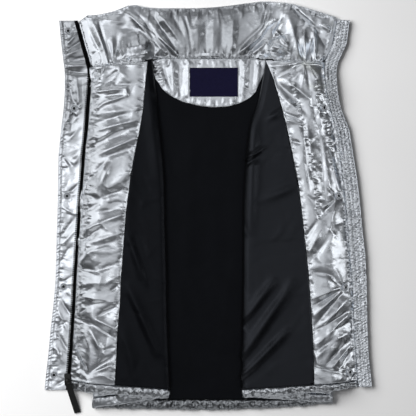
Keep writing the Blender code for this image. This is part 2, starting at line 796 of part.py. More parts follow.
def resample_band(lining_rows, outer_rows):
    """More columns in the long flat stretches of a band, one for each half gather."""
    fine_lining = [[] for _ in lining_rows]
    fine_outer = [[] for _ in outer_rows]
    cols = len(lining_rows[0])
    for col in range(cols - 1):
        length = (outer_rows[1][col + 1] - outer_rows[1][col]).length
        pieces = max(1, round(length / (HEM_GATHER / 2)))
        for piece in range(pieces):
            for source, target in ((lining_rows, fine_lining), (outer_rows, fine_outer)):
                for row, line in enumerate(source):
                    target[row].append(line[col].lerp(line[col + 1], piece / pieces))
    for source, target in ((lining_rows, fine_lining), (outer_rows, fine_outer)):
        for row, line in enumerate(source):
            target[row].append(line[-1])
    return fine_lining, fine_outer


def build_back():
    """The padded back, its lining and its gathered hem."""
    grooves = [FIRST_BAFFLE_Y - index * BAFFLE_PITCH for index in range(BAFFLE_COUNT)]
    heights = [NECK_SEAM_Y] + [row.y for row in LEFT_PANEL[:-1]] + [-300.0, BACK_HEM_SEAM_Y]
    for groove in grooves:
        heights += [groove + BAFFLE_GROOVE_HALF, groove, groove - BAFFLE_GROOVE_HALF]
    heights = sorted(set(heights), reverse=True)
    top = []
    bottom = []
    for y in heights:
        left = -table_row(LEFT_PANEL, y).side
        right = table_row(RIGHT_PANEL, y).side
        if y > LEFT_PANEL[0].y:
            left, right = -BACK_NECK_HALF, BACK_NECK_HALF
        inset = SIDE_EDGE_INSET
        stops = [left, left + inset, blend(left, right, 0.5), right - inset, right]
        depth = BAFFLE_GROOVE_DEPTH if y in grooves else 0.0
        at_edge = (1.0, 0.0, 0.0, 0.0, 1.0)
        lower = []
        upper = []
        for x, edge in zip(stops, at_edge):
            lower.append(Vector((x, y, max(depth, SIDE_EDGE_UNDER_LIFT * edge))))
            upper.append(Vector((x, y, BACK_WALL + SIDE_EDGE_TOP_LIFT * edge)))
        bottom.append(lower)
        top.append(upper)
    wall("back_shell", top, bottom, "silver_cloth")
    build_back_lining()
    build_back_hem()


def build_back_lining():
    """Thin lining on the back, with faint folds where it shows between the fronts."""
    steps = BACK_LINING_ROWS
    first = NECK_SEAM_Y - NECK_SEAM_GAP
    last = BACK_HEM_SEAM_Y + SEAM_GAP
    plain = []
    for index in range(steps + 1):
        y = blend(first, last, index / steps)
        inset = SIDE_EDGE_INSET + BACK_LINING_CLEARANCE
        left = inset - table_row(LEFT_PANEL, y).side
        right = table_row(RIGHT_PANEL, y).side - inset
        if y > LEFT_PANEL[0].y:
            left = inset - BACK_NECK_HALF
            right = -left
        fold_left = -min(table_row(LEFT_PANEL, y).fold, -left) + 2.0
        fold_right = min(table_row(RIGHT_PANEL, y).fold, right) - 2.0
        stops = [left] + [blend(fold_left, fold_right, part / 6) for part in range(7)] + [right]
        plain.append([Vector((x, y, BACK_LINING_BASE)) for x in stops])
    shown = []
    for row, line in enumerate(plain):
        lifted = []
        for col, point in enumerate(line):
            open_lining = 1.0 if 2 <= col <= 6 and 5 <= row < steps else 0.0
            relief = fold_height(BACK_LINING_FOLDS, point.x, point.y) * open_lining
            lifted.append(point + Vector((0.0, 0.0, LINING_WALL + relief)))
        shown.append(lifted)
    wall("back_lining", shown, plain, "black_lining")


def build_back_hem():
    """Gathered band along the back's hem."""
    left = -203.0
    right = 219.0
    cols = 2 * round((right - left) / HEM_GATHER)
    parts = (0.0, 0.5, 1.0)
    top = []
    bottom = []
    for index, part in enumerate(parts):
        upper = []
        lower = []
        for col in range(cols + 1):
            x = blend(left, right, col / cols)
            y = blend(BACK_HEM_SEAM_Y - SEAM_GAP, edge_height(BACK_HEM, x), part)
            gather = HEM_GATHER_HEIGHT if col % 2 and index == 1 else 0.0
            pinch = 1.8 if index == 2 else 0.0
            lower.append(Vector((x, y, pinch)))
            upper.append(Vector((x, y, BACK_WALL - pinch + gather)))
        top.append(upper)
        bottom.append(lower)
    wall("hem_band_back", top, bottom, "silver_cloth")


def build_neck_facing():
    """Half-moon facing under the back neck, gathered along the seam."""
    cols = 2 * round((NECK_FACING_LOW[-1].x - NECK_FACING_LOW[0].x) / NECK_GATHER_PITCH)
    rows = 5
    base = BACK_LINING_TOP + SEAM_GAP
    plain = []
    shown = []
    for row in range(rows + 1):
        part = row / rows
        flat = []
        lifted = []
        for col in range(cols + 1):
            x = blend(NECK_FACING_LOW[0].x, NECK_FACING_LOW[-1].x, col / cols)
            seam = min(NECK_SEAM_Y - 0.5, NECK_SEAM_Y + 9.0 - abs(x) * 0.13)
            y = blend(seam, edge_height(NECK_FACING_LOW, x), part)
            at = Vector((x, y, base))
            clear_x = max(LABEL_LEFT - x, x - LABEL_RIGHT)
            clear_y = max(LABEL_LOW - y, y - LABEL_HIGH)
            away = smooth((max(clear_x, clear_y) - LABEL_MARGIN) / 14.0)
            inside = edge_fade(row, col, rows + 1, cols + 1, 1.0, 3.0)
            gather = NECK_GATHER_HEIGHT * (col % 2) * away * inside
            flat.append(at)
            lifted.append(at + Vector((0.0, 0.0, LINING_WALL + gather)))
        plain.append(flat)
        shown.append(lifted)
    wall("neck_facing", shown, plain, "silver_cloth")
    return base + LINING_WALL


def build_label(base):
    """Plain woven label on the neck facing."""
    z = base + SEAM_GAP
    rows = (LABEL_HIGH, LABEL_LOW)
    cols = (LABEL_LEFT, LABEL_RIGHT)
    plain = [[Vector((x, y, z)) for x in cols] for y in rows]
    wall("label", raised(plain, LABEL_WALL), plain, "navy_label")


def build_collar():
    """Padded stand collar opened flat, with its facing. Returns the facing's surface."""
    under = []
    top = []
    last = len(COLLAR) - 1
    for step in range(COLLAR_STEPS + 1):
        part = step / COLLAR_STEPS
        line = []
        over = []
        for index, row in enumerate(COLLAR):
            x = blend(row.seam_x, row.top_x, part)
            y = blend(row.seam_y, row.top_y, part)
            point = Vector((x, y, collar_height(x, y)))
            ends = index == 0 or index == 1 or index == last
            thin = 1.0 if ends else (0.8, 1.0, 1.0, 0.95, 0.7)[step]
            line.append(point)
            over.append(point + Vector((0.0, 0.0, row.wall * thin)))
        under.append(line)
        top.append(over)
    wall("collar_shell", top, under, "silver_cloth")
    facing = raised([line[1:last] for line in top], SEAM_GAP)
    shown = loft_over(facing, FACING_WALL, FACING_LOFT * 0.7, COLLAR_FOLDS, 3, 3)
    wall("collar_facing", shown, facing, "silver_cloth", 3, 3)
    return shown


def strip_grid(front, first_out, last_out, base, cols):
    """Points along a front's zip edge, between two distances given by row functions."""
    grid = []
    for row in front.strip:
        start = first_out(row)
        end = last_out(row)
        line = []
        for col in range(cols + 1):
            out = blend(start, end, col / cols)
            x = front.side * out
            line.append(Vector((x, row.y, hang_height(x, row.y) + base)))
        grid.append(line)
    return grid


def pucker_over(grid, wall_height, row_step, pinch_inner):
    """Outer side of a stitched strip: puckers across it, lower at its stitched lines."""
    finer = refine(grid, row_step, 1)
    cols = len(finer[0])
    shown = []
    for line in finer:
        lifted = []
        for col, point in enumerate(line):
            wave = 0.5 + 0.5 * math.cos(2.0 * math.pi * point.y / FLAP_PUCKER_PITCH)
            inner_edge = col == 0 and pinch_inner
            stitched = col == cols - 1 or inner_edge
            relief = 0.0 if stitched else FLAP_PUCKER_HEIGHT * wave * snap_fade(point.x, point.y)
            lifted.append(point + Vector((0.0, 0.0, wall_height + relief)))
        shown.append(lifted)
    return shown


def build_storm_flap(front):
    """Snap placket beyond the left zip. Returns its shown surface."""
    under = strip_grid(front, lambda row: row.inner + SEAM_GAP, lambda row: row.edge, 0.0, 4)
    shown = pucker_over(under, FLAP_WALL, 4, True)
    wall("storm_flap", shown, under, "silver_cloth", 4, 1)
    return shown


def build_left_zip(front):
    """Zip tape on the seam of the left front and its storm flap, and the chain on it."""
    base = ZIP_EDGE_WALL + SEAM_GAP
    tape = strip_grid(
        front, lambda row: row.inner - TAPE_HALF, lambda row: row.inner + TAPE_HALF, base, 2)
    wall("zip_tape_left", raised(tape, TAPE_WALL), tape, "black_zip")
    chain = strip_grid(
        front,
        lambda row: row.inner - CHAIN_HALF,
        lambda row: row.inner + CHAIN_HALF,
        base + TAPE_WALL + SEAM_GAP,
        1,
    )
    chain = chain[:-1]
    wall("zip_chain_left", raised(chain, CHAIN_HEIGHT), chain, "black_zip")
    return base + TAPE_WALL + SEAM_GAP


def guard_stops(row):
    """Columns across the right edge: the guard's inner edge, its middle and the wall's end."""
    end = row.edge - GUARD_OVERHANG
    return [row.inner, blend(row.inner, end, 0.5), end]


def over_right_edge(front, row, out, lift):
    """A point over the padded wall of the right edge."""
    x = front.side * out
    end = row.edge - GUARD_OVERHANG
    z = hang_height(x, row.y) + front.centre_wall(min(out, end), row.y)
    return Vector((x, row.y, z + lift))


def build_right_zip(front):
    """The other half of the zip, under the guard."""
    tape = []
    for row in front.strip:
        stops = guard_stops(row)[1:]
        tape.append([over_right_edge(front, row, out, SEAM_GAP) for out in stops])
    wall("zip_tape_right", raised(tape, TAPE_WALL), tape, "black_zip")


def build_guard(front):
    """Stitched guard along the right edge, over its zip tape."""
    base = []
    for row in front.strip:
        stops = guard_stops(row) + [row.edge]
        stops[0] += SEAM_GAP
        lift = 2 * SEAM_GAP + TAPE_WALL
        base.append([over_right_edge(front, row, out, lift) for out in stops])
    shown = pucker_over(base, FLAP_WALL - 1.0, 4, False)
    wall("zip_guard", shown, base, "silver_cloth", 4, 1)


def revolve(name, profile, segments, finish_name, matrix):
    """A ring with the given (radius, height) profile."""
    points = []
    for index in range(segments):
        turn = 2.0 * math.pi * index / segments
        points += [(r * math.cos(turn), r * math.sin(turn), z) for r, z in profile]
    count = len(profile)
    faces = []
    for index in range(segments):
        after = (index + 1) % segments
        for step in range(count):
            following = (step + 1) % count
            a, b = index * count + step, index * count + following
            c, d = after * count + following, after * count + step
            faces.append((a, b, c, d))
    return add_object(name, points, faces, finish_name, matrix)


def build_snap(name, place, surface):
    """A metal ring snap seated on the cloth under it."""
    profile = (
        (SNAP_HOLE_RADIUS, 0.0),
        (SNAP_RADIUS, 0.0),
        (SNAP_RADIUS - 0.3, SNAP_HEIGHT * 0.55),
        (SNAP_RADIUS - 1.5, SNAP_HEIGHT),
        (SNAP_HOLE_RADIUS + 0.4, SNAP_HEIGHT * 0.9),
    )
    reach = SNAP_RADIUS
    slope_x = surface_height(surface, place.x + reach, place.y)
    slope_x = (slope_x - surface_height(surface, place.x - reach, place.y)) / (2.0 * reach)
    slope_y = surface_height(surface, place.x, place.y + reach)
    slope_y = (slope_y - surface_height(surface, place.x, place.y - reach)) / (2.0 * reach)
    highest = -math.inf
    for radius in (SNAP_HOLE_RADIUS, 0.5 * (SNAP_HOLE_RADIUS + reach), reach):
        for index in range(SNAP_SEGMENTS):
            turn = 2.0 * math.pi * index / SNAP_SEGMENTS
            dx = radius * math.cos(turn)
            dy = radius * math.sin(turn)
            under = surface_height(surface, place.x + dx, place.y + dy)
            highest = max(highest, under - slope_x * dx - slope_y * dy)
    normal = Vector((-slope_x, -slope_y, 1.0)).normalized()
    seat = Vector((place.x, place.y, highest + SEAM_GAP))
    turn = Vector((0.0, 0.0, 1.0)).rotation_difference(normal).to_matrix().to_4x4()
    revolve(name, profile, SNAP_SEGMENTS, "snap_metal", Matrix.Translation(seat) @ turn)


def extrude_profile(name, profile, stations, finish_name, matrix):
    """A closed profile in the local XZ plane carried along local Y with a width factor."""
    points = []
    for y, factor in stations:
        points += [(x * factor, y, z) for x, z in profile]
    count = len(profile)
    faces = [tuple(range(count)), tuple(range((len(stations) - 1) * count, len(points)))]
    for index in range(len(stations) - 1):
        for step in range(count):
            following = (step + 1) % count
            a, b = index * count + step, index * count + following
            faces.append((a, b, b + count, a + count))
    return add_object(name, points, faces, finish_name, matrix)


def rounded_rectangle(x0, x1, y0, y1, radius, steps):
    """Points of a rectangle with round corners, the same count for each corner."""
    corners = (
        (x1 - radius, y1 - radius, 0.0),
        (x0 + radius, y1 - radius, 90.0),
        (x0 + radius, y0 + radius, 180.0),
        (x1 - radius, y0 + radius, 270.0),
    )
    points = []
    for centre_x, centre_y, start in corners:
        for step in range(steps + 1):
            turn = math.radians(start + 90.0 * step / steps)
            points.append((centre_x + radius * math.cos(turn), centre_y + radius * math.sin(turn)))
    return points


def build_slider(chain_base):
    """Zip slider over the chain, and the bridge that holds the pull tab."""
    ground = hang_height(*SLIDER_CENTRE)
    flange_base = ground + chain_base + SLIDER_FLANGE_LIFT
    plate_base = ground + chain_base + CHAIN_HEIGHT + SEAM_GAP
    half = SLIDER_HALF_WIDTH
    inner = half - SLIDER_FLANGE
    plate_top = plate_base + SLIDER_PLATE
    profile = (
        (-half, flange_base),
        (-inner, flange_base),
        (-inner, plate_base),
        (inner, plate_base),
        (inner, flange_base),
        (half, flange_base),
        (half, plate_top - 0.5),
        (half - 0.7, plate_top),
        (-half + 0.7, plate_top),
        (-half, plate_top - 0.5),
    )
    neck = SLIDER_NECK_HALF_WIDTH / half
    length = SLIDER_LENGTH
    stations = (
        (-0.5 * length, neck * 0.9),
        (-0.42 * length, neck),
        (0.1 * length, neck),
        (0.36 * length, 1.0),
        (0.5 * length, 0.94),
    )
    place = Matrix.Translation((*SLIDER_CENTRE, 0.0))
    extrude_profile("zip_slider", profile, stations, "black_zip", place)

    hinge = Vector((*SLIDER_CENTRE, plate_top + HINGE_OVER_PLATE))
    hinge.y -= 1.5
    top = HINGE_OVER_PLATE + 1.7
    span = BRIDGE_HALF_SPAN
    foot = -HINGE_OVER_PLATE + SEAM_GAP
    arch = [(span, foot), (span, 0.3 * top), (0.62 * span, 0.85 * top - 1.5), (0.0, top - 1.6)]
    outer = arch + [(-x, z) for x, z in reversed(arch[:-1])]
    inside = [(x - math.copysign(BRIDGE_WALL, x) if x else 0.0, z - BRIDGE_WALL * (z > 0.0))
              for x, z in reversed(outer)]
    ring = [(x, z) for x, z in outer + inside]
    spin = Matrix.Rotation(math.pi / 2 + TAB_YAW, 4, "Z")
    stations = ((-BRIDGE_HALF_WIDTH, 1.0), (BRIDGE_HALF_WIDTH, 1.0))
    place = Matrix.Translation(hinge) @ spin
    extrude_profile("slider_bridge", ring, stations, "black_zip", place)
    return hinge


def build_pull_tab(hinge):
    """Flat tab whose top bar passes under the bridge. Its origin is on the hinge axis."""
    low = TAB_HALF_WALL + TAB_FLOOR_CLEARANCE
    pitch = math.asin((hinge.z - low) / TAB_LENGTH)
    outer = rounded_rectangle(-1.0, TAB_LENGTH, -TAB_HALF_WIDTH, TAB_HALF_WIDTH, 0.9, 4)
    arm = TAB_HALF_WIDTH - TAB_ARM
    window = rounded_rectangle(*TAB_WINDOW, -arm, arm, 0.5, 4)
    count = len(outer)
    points = []
    for z in (-TAB_HALF_WALL, TAB_HALF_WALL):
        points += [(x, y, z) for x, y in outer]
        points += [(x, y, z) for x, y in window]
    faces = []
    for index in range(count):
        after = (index + 1) % count
        low_outer, low_inner = index, count + index
        next_outer, next_inner = after, count + after
        lift = 2 * count
        faces.append((low_outer, next_outer, next_inner, low_inner))
        faces.append((low_outer + lift, low_inner + lift, next_inner + lift, next_outer + lift))
        faces.append((low_outer, low_outer + lift, next_outer + lift, next_outer))
        faces.append((low_inner, next_inner, next_inner + lift, low_inner + lift))
    tab = add_object("pull_tab", points, faces, "black_zip")
    heading = Matrix.Rotation(TAB_YAW - math.pi / 2, 4, "Z")
    slope = Matrix.Rotation(pitch, 4, "Y")
    tab.matrix_world = Matrix.Translation(hinge * MM) @ heading @ slope


def build_loop(surface):
    """Short hanger loop over the neck seam at the back."""
    cols = 6
    plain = []
    for y in (LOOP_HIGH, LOOP_LOW):
        line = []
        for col in range(cols + 1):
            part = col / cols
            x = blend(LOOP_LEFT, LOOP_RIGHT, part)
            line.append(Vector((x, y, LOOP_RISE * math.sin(math.pi * part))))
        plain.append(line)
    seat = 0.0
    for line in plain:
        for point in line:
            seat = max(seat, surface_height(surface, point.x, point.y) - point.z)
    plain = raised(plain, seat + SEAM_GAP)
    wall("hanger_loop", raised(plain, LOOP_WALL), plain, "silver_cloth")


def clear_scene():
    for existing in list(bpy.data.objects):
        bpy.data.objects.remove(existing, do_unlink=True)


def main():
    clear_scene()
    left = Front(-1, LEFT_PANEL, LEFT_STRIP, LEFT_HEM, ZIP_EDGE_TAPER)
    right = Front(1, RIGHT_PANEL, RIGHT_STRIP, RIGHT_HEM, GUARD_EDGE_TAPER)
    build_back()
    label_base = build_neck_facing()
    build_label(label_base)
    build_front("front_left", left, LEFT_FACING_FOLDS, LEFT_LINING_FOLDS)
    right_facing = build_front("front_right", right, RIGHT_FACING_FOLDS, RIGHT_LINING_FOLDS)
    build_hem_front("hem_band_left", left)
    build_hem_front("hem_band_right", right)
    collar = build_collar()
    flap = build_storm_flap(left)
    chain_base = build_left_zip(left)
    build_right_zip(right)
    build_guard(right)
    hinge = build_slider(chain_base)
    build_pull_tab(hinge)
    build_loop(collar)
    for index, place in enumerate(LEFT_SNAPS, start=1):
        build_snap(f"snap_left_{index}", place, flap)
    for index, place in enumerate(RIGHT_SNAPS, start=1):
        build_snap(f"snap_right_{index}", place, collar if index == 1 else right_facing)


main()
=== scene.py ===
"""Looks of the open puffer vest, laid flat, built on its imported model."""

import math
import random
from collections import namedtuple

import bpy
import numpy as np
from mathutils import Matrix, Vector
from mathutils.bvhtree import BVHTree


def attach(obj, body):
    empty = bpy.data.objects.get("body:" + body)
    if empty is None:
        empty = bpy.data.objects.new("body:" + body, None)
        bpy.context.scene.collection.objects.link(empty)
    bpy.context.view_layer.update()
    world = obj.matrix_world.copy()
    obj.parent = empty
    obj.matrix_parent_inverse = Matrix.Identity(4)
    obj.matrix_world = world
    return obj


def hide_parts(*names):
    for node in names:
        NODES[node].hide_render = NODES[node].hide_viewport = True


MM = 0.001

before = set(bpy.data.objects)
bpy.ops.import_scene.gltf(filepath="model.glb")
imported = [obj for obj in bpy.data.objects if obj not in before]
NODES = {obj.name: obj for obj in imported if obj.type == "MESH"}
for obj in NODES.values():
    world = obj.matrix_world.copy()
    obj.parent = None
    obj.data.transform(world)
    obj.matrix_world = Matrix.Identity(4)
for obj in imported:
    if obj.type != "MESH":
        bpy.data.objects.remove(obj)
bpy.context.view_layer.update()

# ---------------------------------------------------------------- sizes, in mm
FOLD_CENTRE_Z = 17.7
FOLD_REACH = 10.4
GROOVE_PITCH = 77.0
FIRST_GROOVE_Y = 196.0
GROOVE_COUNT = 7

Corner = namedtuple("Corner", "outer_top outer_low inner_top inner_low")

# Inner edge of each facing near the neck, where it laps over the lining
Edge = namedtuple("Edge", "y x")
LEFT_NECK_EDGE = (Edge(204.0, -110.3), Edge(219.5, -109.0), Edge(258.0, -104.8))
RIGHT_NECK_EDGE = (Edge(204.0, 119.7), Edge(222.0, 115.0), Edge(246.0, 104.5), Edge(258.0, 99.5))

# Main creases of each cloth: a ridge or a trough along a line
Crease = namedtuple("Crease", "x0 y0 x1 y1 width height")

# Creases are given in units of 1.75 mm, across and down from the view's top left corner
UNIT = 1.75
UNIT_X = 208.1
UNIT_Y = 207.75


def crease_lines(*rows):
    made = []
    for x0, y0, x1, y1, width, height in rows:
        made.append(Crease((x0 - UNIT_X) * UNIT, (UNIT_Y - y0) * UNIT,
                           (x1 - UNIT_X) * UNIT, (UNIT_Y - y1) * UNIT, width, height))
    return made


LEFT_FACING_CREASES = crease_lines(
    (107, 66, 102, 78, 4.5, 3), (118, 69, 112, 86, 4, -3), (103, 85, 119, 71, 4, -3),
    (111, 62, 131, 84, 8, 2.6), (111, 63, 147, 66, 5, 2), (118, 86, 139, 84, 6, -2.2),
    (99, 92, 126, 89, 4, 3.4), (126, 89, 128, 96, 4, 3.2), (128, 96, 104, 104, 4, 3.4),
    (104, 104, 95, 110, 4, 2.8), (106, 97, 119, 94, 4.5, -3), (97, 114, 138, 110, 6, 1.8),
    (96, 131, 140, 120, 5, 2.6), (96, 124, 130, 113, 5, -2), (89, 150, 107, 138, 6, -3.4),
    (107, 138, 129, 130, 8, -3.8), (129, 130, 140, 127, 5, -2.6), (92, 143, 112, 132, 4, 2.6),
    (101, 159, 138, 146, 6, -2.8), (100, 154, 136, 138, 5, 2.8), (95, 173, 107, 161, 4, -3.2),
    (98, 190, 112, 162, 7, 3.4), (96, 200, 129, 188, 6, -2.6), (106, 190, 131, 172, 9, 2.2),
    (86, 211, 99, 204, 4.5, -3), (99, 204, 129, 203, 7, -3), (94, 213, 125, 208, 6, -2.2),
    (83, 231, 105, 221, 5, 3.2), (105, 221, 127, 213, 6, 3), (85, 240, 100, 228, 4.5, -3.4),
    (88, 244, 124, 232, 6, 2.8), (98, 246, 122, 240, 8, -2), (80, 262, 93, 249, 4, 2.4),
    (90, 252, 124, 250, 7, 1.8), (81, 269, 97, 271, 4.5, -3.4), (97, 271, 119, 263, 6, -2.6),
    (98, 290, 103, 274, 7, 2.4), (111, 291, 121, 284, 4, -2.8), (106, 283, 119, 275, 5, 2.2),
    (81, 296, 119, 302, 6, 2.6), (86, 306, 112, 299, 6, -2), (97, 317, 107, 311, 6, -3),
    (107, 311, 119, 305, 5, -2.8), (77, 319, 91, 323, 4.5, -3.4), (91, 323, 114, 337, 5, -3.4),
    (95, 318, 117, 329, 5, 2.8), (92, 330, 103, 353, 5, 3.4), (84, 333, 92, 352, 7, 2),
    (103, 350, 116, 346, 5, -2.4), (76, 355, 88, 374, 5, -3.4), (89, 373, 116, 354, 5, -3.6),
    (95, 371, 112, 364, 4, 3.4), (79, 352, 87, 366, 4, 2.8), (76, 345, 90, 356, 6, 2),
)
RIGHT_FACING_CREASES = crease_lines(
    (303, 64, 272, 80, 6, -3.2), (302, 63, 272, 67, 5, 2.8), (304, 63, 293, 82, 5, 2.6),
    (277, 83, 306, 114, 5.5, -3.6), (287, 82, 309, 100, 5, 2.8), (279, 96, 300, 112, 6, 2.2),
    (305, 64, 309, 90, 4, -3), (309, 66, 317, 84, 4.5, 2.8), (305, 67, 300, 90, 4, 2.2),
    (283, 114, 302, 121, 4, -3.2), (284, 119, 300, 124, 4, 2.6), (290, 141, 300, 144, 4, -3),
    (306, 122, 314, 192, 6, 3.2), (302, 121, 309, 190, 4, -3), (318, 128, 325, 200, 5, -2.6),
    (322, 140, 331, 198, 4.5, 2.6), (329, 152, 339, 190, 4, 3.2), (334, 150, 338, 180, 5, -2.6),
    (315, 100, 322, 128, 5, 2.6), (311, 96, 316, 126, 5, -2.2), (306, 195, 322, 212, 6, -3),
    (337, 197, 322, 208, 3.5, 3), (337, 197, 327, 186, 3.5, -2.8), (337, 198, 318, 220, 4.5, -3),
    (337, 198, 330, 224, 4.5, 2.8), (306, 256, 319, 232, 5, 3.2), (308, 264, 328, 238, 6, -3),
    (303, 240, 316, 222, 4, -2.8), (322, 252, 340, 228, 9, 2), (327, 232, 333, 222, 4, 2.4),
    (311, 272, 330, 275, 6, -3.4), (330, 275, 337, 283, 4.5, -3.4), (312, 266, 336, 262, 9, 2),
    (344, 286, 311, 298, 5, 2.8), (343, 288, 312, 306, 3.5, -3), (343, 288, 312, 316, 5, 3.2),
    (344, 290, 313, 327, 4.5, -3.2), (346, 300, 322, 325, 6, 2.8), (347, 312, 313, 331, 4, -3.2),
    (348, 315, 314, 345, 5.5, 3), (343, 288, 336, 270, 4, 2.4), (317, 350, 332, 339, 5, -2.6),
    (314, 358, 326, 346, 5, 2.4), (331, 367, 350, 346, 4, 3.4), (326, 364, 344, 344, 4, -3.2),
    (338, 370, 350, 352, 4, -3.2), (314, 366, 339, 372, 4, -2.6), (312, 352, 320, 368, 5, 2.2),
    (332, 330, 350, 322, 7, -2), (335, 339, 350, 333, 6, 2.2),
)
COLLAR_CREASES = crease_lines(
    (126, 12, 185, 59, 5, 3.4), (137, 13, 175, 58, 3.5, -3.2), (131, 16, 168, 56, 4, 2.8),
    (147, 22, 156, 50, 7, -4.2), (153, 15, 181, 57, 3.5, -3.2), (159, 13, 184, 47, 5, 3.4),
    (171, 12, 186, 40, 4, -2.8), (186, 20, 193, 55, 3.5, -3.4), (180, 14, 190, 38, 4.5, 2.8),
    (196, 14, 199, 54, 6, 2.2), (205, 22, 207, 56, 5, -2.4), (214, 12, 213, 52, 6, 2.4),
    (222, 18, 221, 55, 5, -2.6), (233, 14, 232, 56, 4, 3.6), (239, 20, 236, 50, 7, -2.4),
    (232, 56, 263, 25, 4, -3.6), (263, 25, 266, 11, 4, -3), (236, 55, 261, 36, 4.5, 3.6),
    (261, 36, 270, 14, 4.5, 3.4), (246, 55, 263, 38, 3.5, -3.6), (263, 38, 283, 17, 4, -3.6),
    (251, 55, 273, 36, 4, 3.4), (273, 36, 285, 14, 4.5, 3.2), (266, 44, 274, 32, 6, -4.6),
    (276, 31, 287, 45, 4, 3.2), (270, 45, 288, 52, 3.5, 3), (268, 52, 288, 57, 3.5, -2.8),
    (272, 38, 286, 34, 3.5, -2.8), (294, 8, 320, 31, 4.5, -3.6), (288, 14, 300, 56, 8, 2.6),
    (299, 42, 304, 61, 3.5, -3.2), (304, 30, 305, 60, 4.5, 3), (313, 40, 306, 61, 3.5, -3.2),
    (314, 28, 315, 58, 3.5, 3.2), (318, 34, 332, 50, 6, -2.2), (302, 12, 316, 26, 5, 2.4),
    (306, 7, 328, 17, 3.5, -2.2), (322, 24, 333, 32, 4, 2.2), (318, 60, 335, 50, 4, 2.2),
    (90, 14, 107, 57, 6, 3.6), (98, 20, 109, 58, 3.5, -2.8), (88, 26, 101, 56, 4, -2.4),
    (107, 41, 112, 61, 4, -3.6), (112, 38, 113, 61, 4, 2.8), (118, 40, 114, 61, 3.5, -2.8),
    (116, 25, 143, 30, 9, -2.6), (126, 48, 144, 45, 7, 2), (125, 64, 148, 48, 4, 3.2),
    (118, 60, 146, 54, 3.5, -2.8), (138, 24, 141, 46, 5, 2.8), (96, 15, 126, 12, 5, -2.6),
    (101, 18, 122, 22, 5, 2.4), (150, 58, 162, 48, 4, 2.8), (153, 60, 168, 55, 3.5, -2.6),
)
FLAP_CREASES = crease_lines(
    (64, 55, 80, 48, 3.5, 2.2), (66, 61, 88, 58, 5, -3), (64, 70, 86, 73, 4.5, -2.6), (65, 66, 88, 64, 5, 2.2),
    (68, 80, 73, 104, 4, -2.4), (76, 78, 78, 104, 3.5, 2.4), (82, 80, 83, 110, 4, -2), (66, 44, 76, 33, 3, 2.4),
    (66, 50, 84, 38, 3, -2.2), (71, 109, 62, 130, 3.5, 2.6), (73, 110, 70, 134, 3.5, -2.2),
    (70, 112, 84, 104, 3, 2.2), (64, 126, 82, 112, 4, -2.6), (62, 156, 72, 166, 4, -2.2),
    (72, 166, 80, 152, 4, 2.2), (60, 150, 70, 172, 4, 2), (66, 196, 79, 183, 3, -2.6),
    (61, 236, 76, 216, 5, -3), (60, 246, 75, 230, 4, 2.4), (60, 262, 70, 246, 3.5, -2.2),
    (58, 286, 72, 276, 3, -2.2), (60, 300, 70, 316, 3.5, -2.2), (57, 310, 66, 330, 3.5, 2.2),
    (56, 328, 66, 322, 3, -2.4), (54, 344, 62, 362, 4, 2.2), (57, 334, 66, 350, 3.5, -2),
    (50, 366, 60, 352, 3.5, 2), (54, 387, 66, 380, 3, -1.8), (68, 140, 78, 128, 4, 2),
    (62, 208, 74, 214, 3.5, 2),
)
NECK_CREASES = crease_lines(
    (152, 60, 166, 84, 5, 2.2), (160, 58, 172, 92, 5, -2), (172, 60, 173, 96, 6, 2.4),
    (181, 60, 180, 98, 5, -2.4), (188, 60, 188, 100, 4, 2), (246, 58, 242, 100, 5, 2.2),
    (240, 62, 238, 102, 4, -2), (253, 60, 250, 94, 5, -2.6), (259, 60, 256, 88, 4, 2.2),
    (152, 68, 160, 64, 3, 1.6), (205, 99, 204, 106, 3.5, 1.6), (222, 99, 223, 107, 3.5, -1.6),
)
LEFT_LINING_CREASES = crease_lines(
    (130, 128, 128, 238, 12, 1.2), (130, 238, 146, 282, 7, 1.8), (136, 236, 152, 288, 6, -1.4),
    (129, 286, 158, 352, 8, 1.8), (126, 300, 152, 366, 7, -1.4), (148, 90, 158, 176, 10, 1.2),
    (124, 330, 136, 378, 9, 1.2),
)
RIGHT_LINING_CREASES = crease_lines(
    (254, 110, 250, 230, 9, 1.4), (263, 151, 288, 150, 3, -1.6), (245, 165, 262, 154, 4, -1.6),
    (246, 160, 264, 148, 4, 1.4), (245, 318, 273, 280, 6, 1.8), (248, 326, 280, 290, 6, -1.8),
    (242, 356, 291, 282, 7, 2), (244, 366, 300, 300, 7, -1.8), (240, 378, 286, 330, 6, 2),
    (240, 384, 280, 350, 5, -1.6), (258, 250, 300, 246, 8, -1.2), (262, 200, 296, 186, 8, 1),
    (268, 120, 284, 108, 6, 1), (243, 240, 250, 290, 7, -1.2),
)
BACK_LINING_CREASES = crease_lines(
    (190, 130, 184, 360, 14, 0.9), (226, 140, 220, 350, 12, -0.8), (206, 120, 204, 250, 12, 0.6),
    (160, 210, 186, 330, 12, 0.8), (170, 300, 214, 380, 12, -0.7), (232, 260, 214, 390, 10, 0.8),
)

# Collar columns: the seam at the neck and the top edge
CollarRow = namedtuple("CollarRow", "seam_x seam_y top_x top_y")
COLLAR = [CollarRow(*row) for row in (
    (-203.8, 247.8, -225.6, 328), (-189, 250, -212, 338), (-169, 251.5, -191, 339), (-147, 251.5, -165, 345),
    (-126, 253, -140, 355), (-114, 256, -126, 356), (-106, 258.5, -119, 354), (-98, 261.5, -110, 352),
    (-84, 263, -96, 350.5), (-62, 263, -68, 350), (-40, 263, -40, 350), (-18, 263, -14, 350.5),
    (4, 263, 12, 352), (26, 263, 40, 355), (48, 263, 68, 359), (70, 263, 92, 361.8), (86, 263, 108, 361.8),
    (97, 262.5, 118, 361), (106, 261, 126, 360.5), (115, 259.5, 134, 360), (130, 257, 150, 357.5),
    (150, 255, 174, 350.5), (170, 254, 197, 343.5), (188, 255, 212, 339), (202, 256, 225, 335),
)]

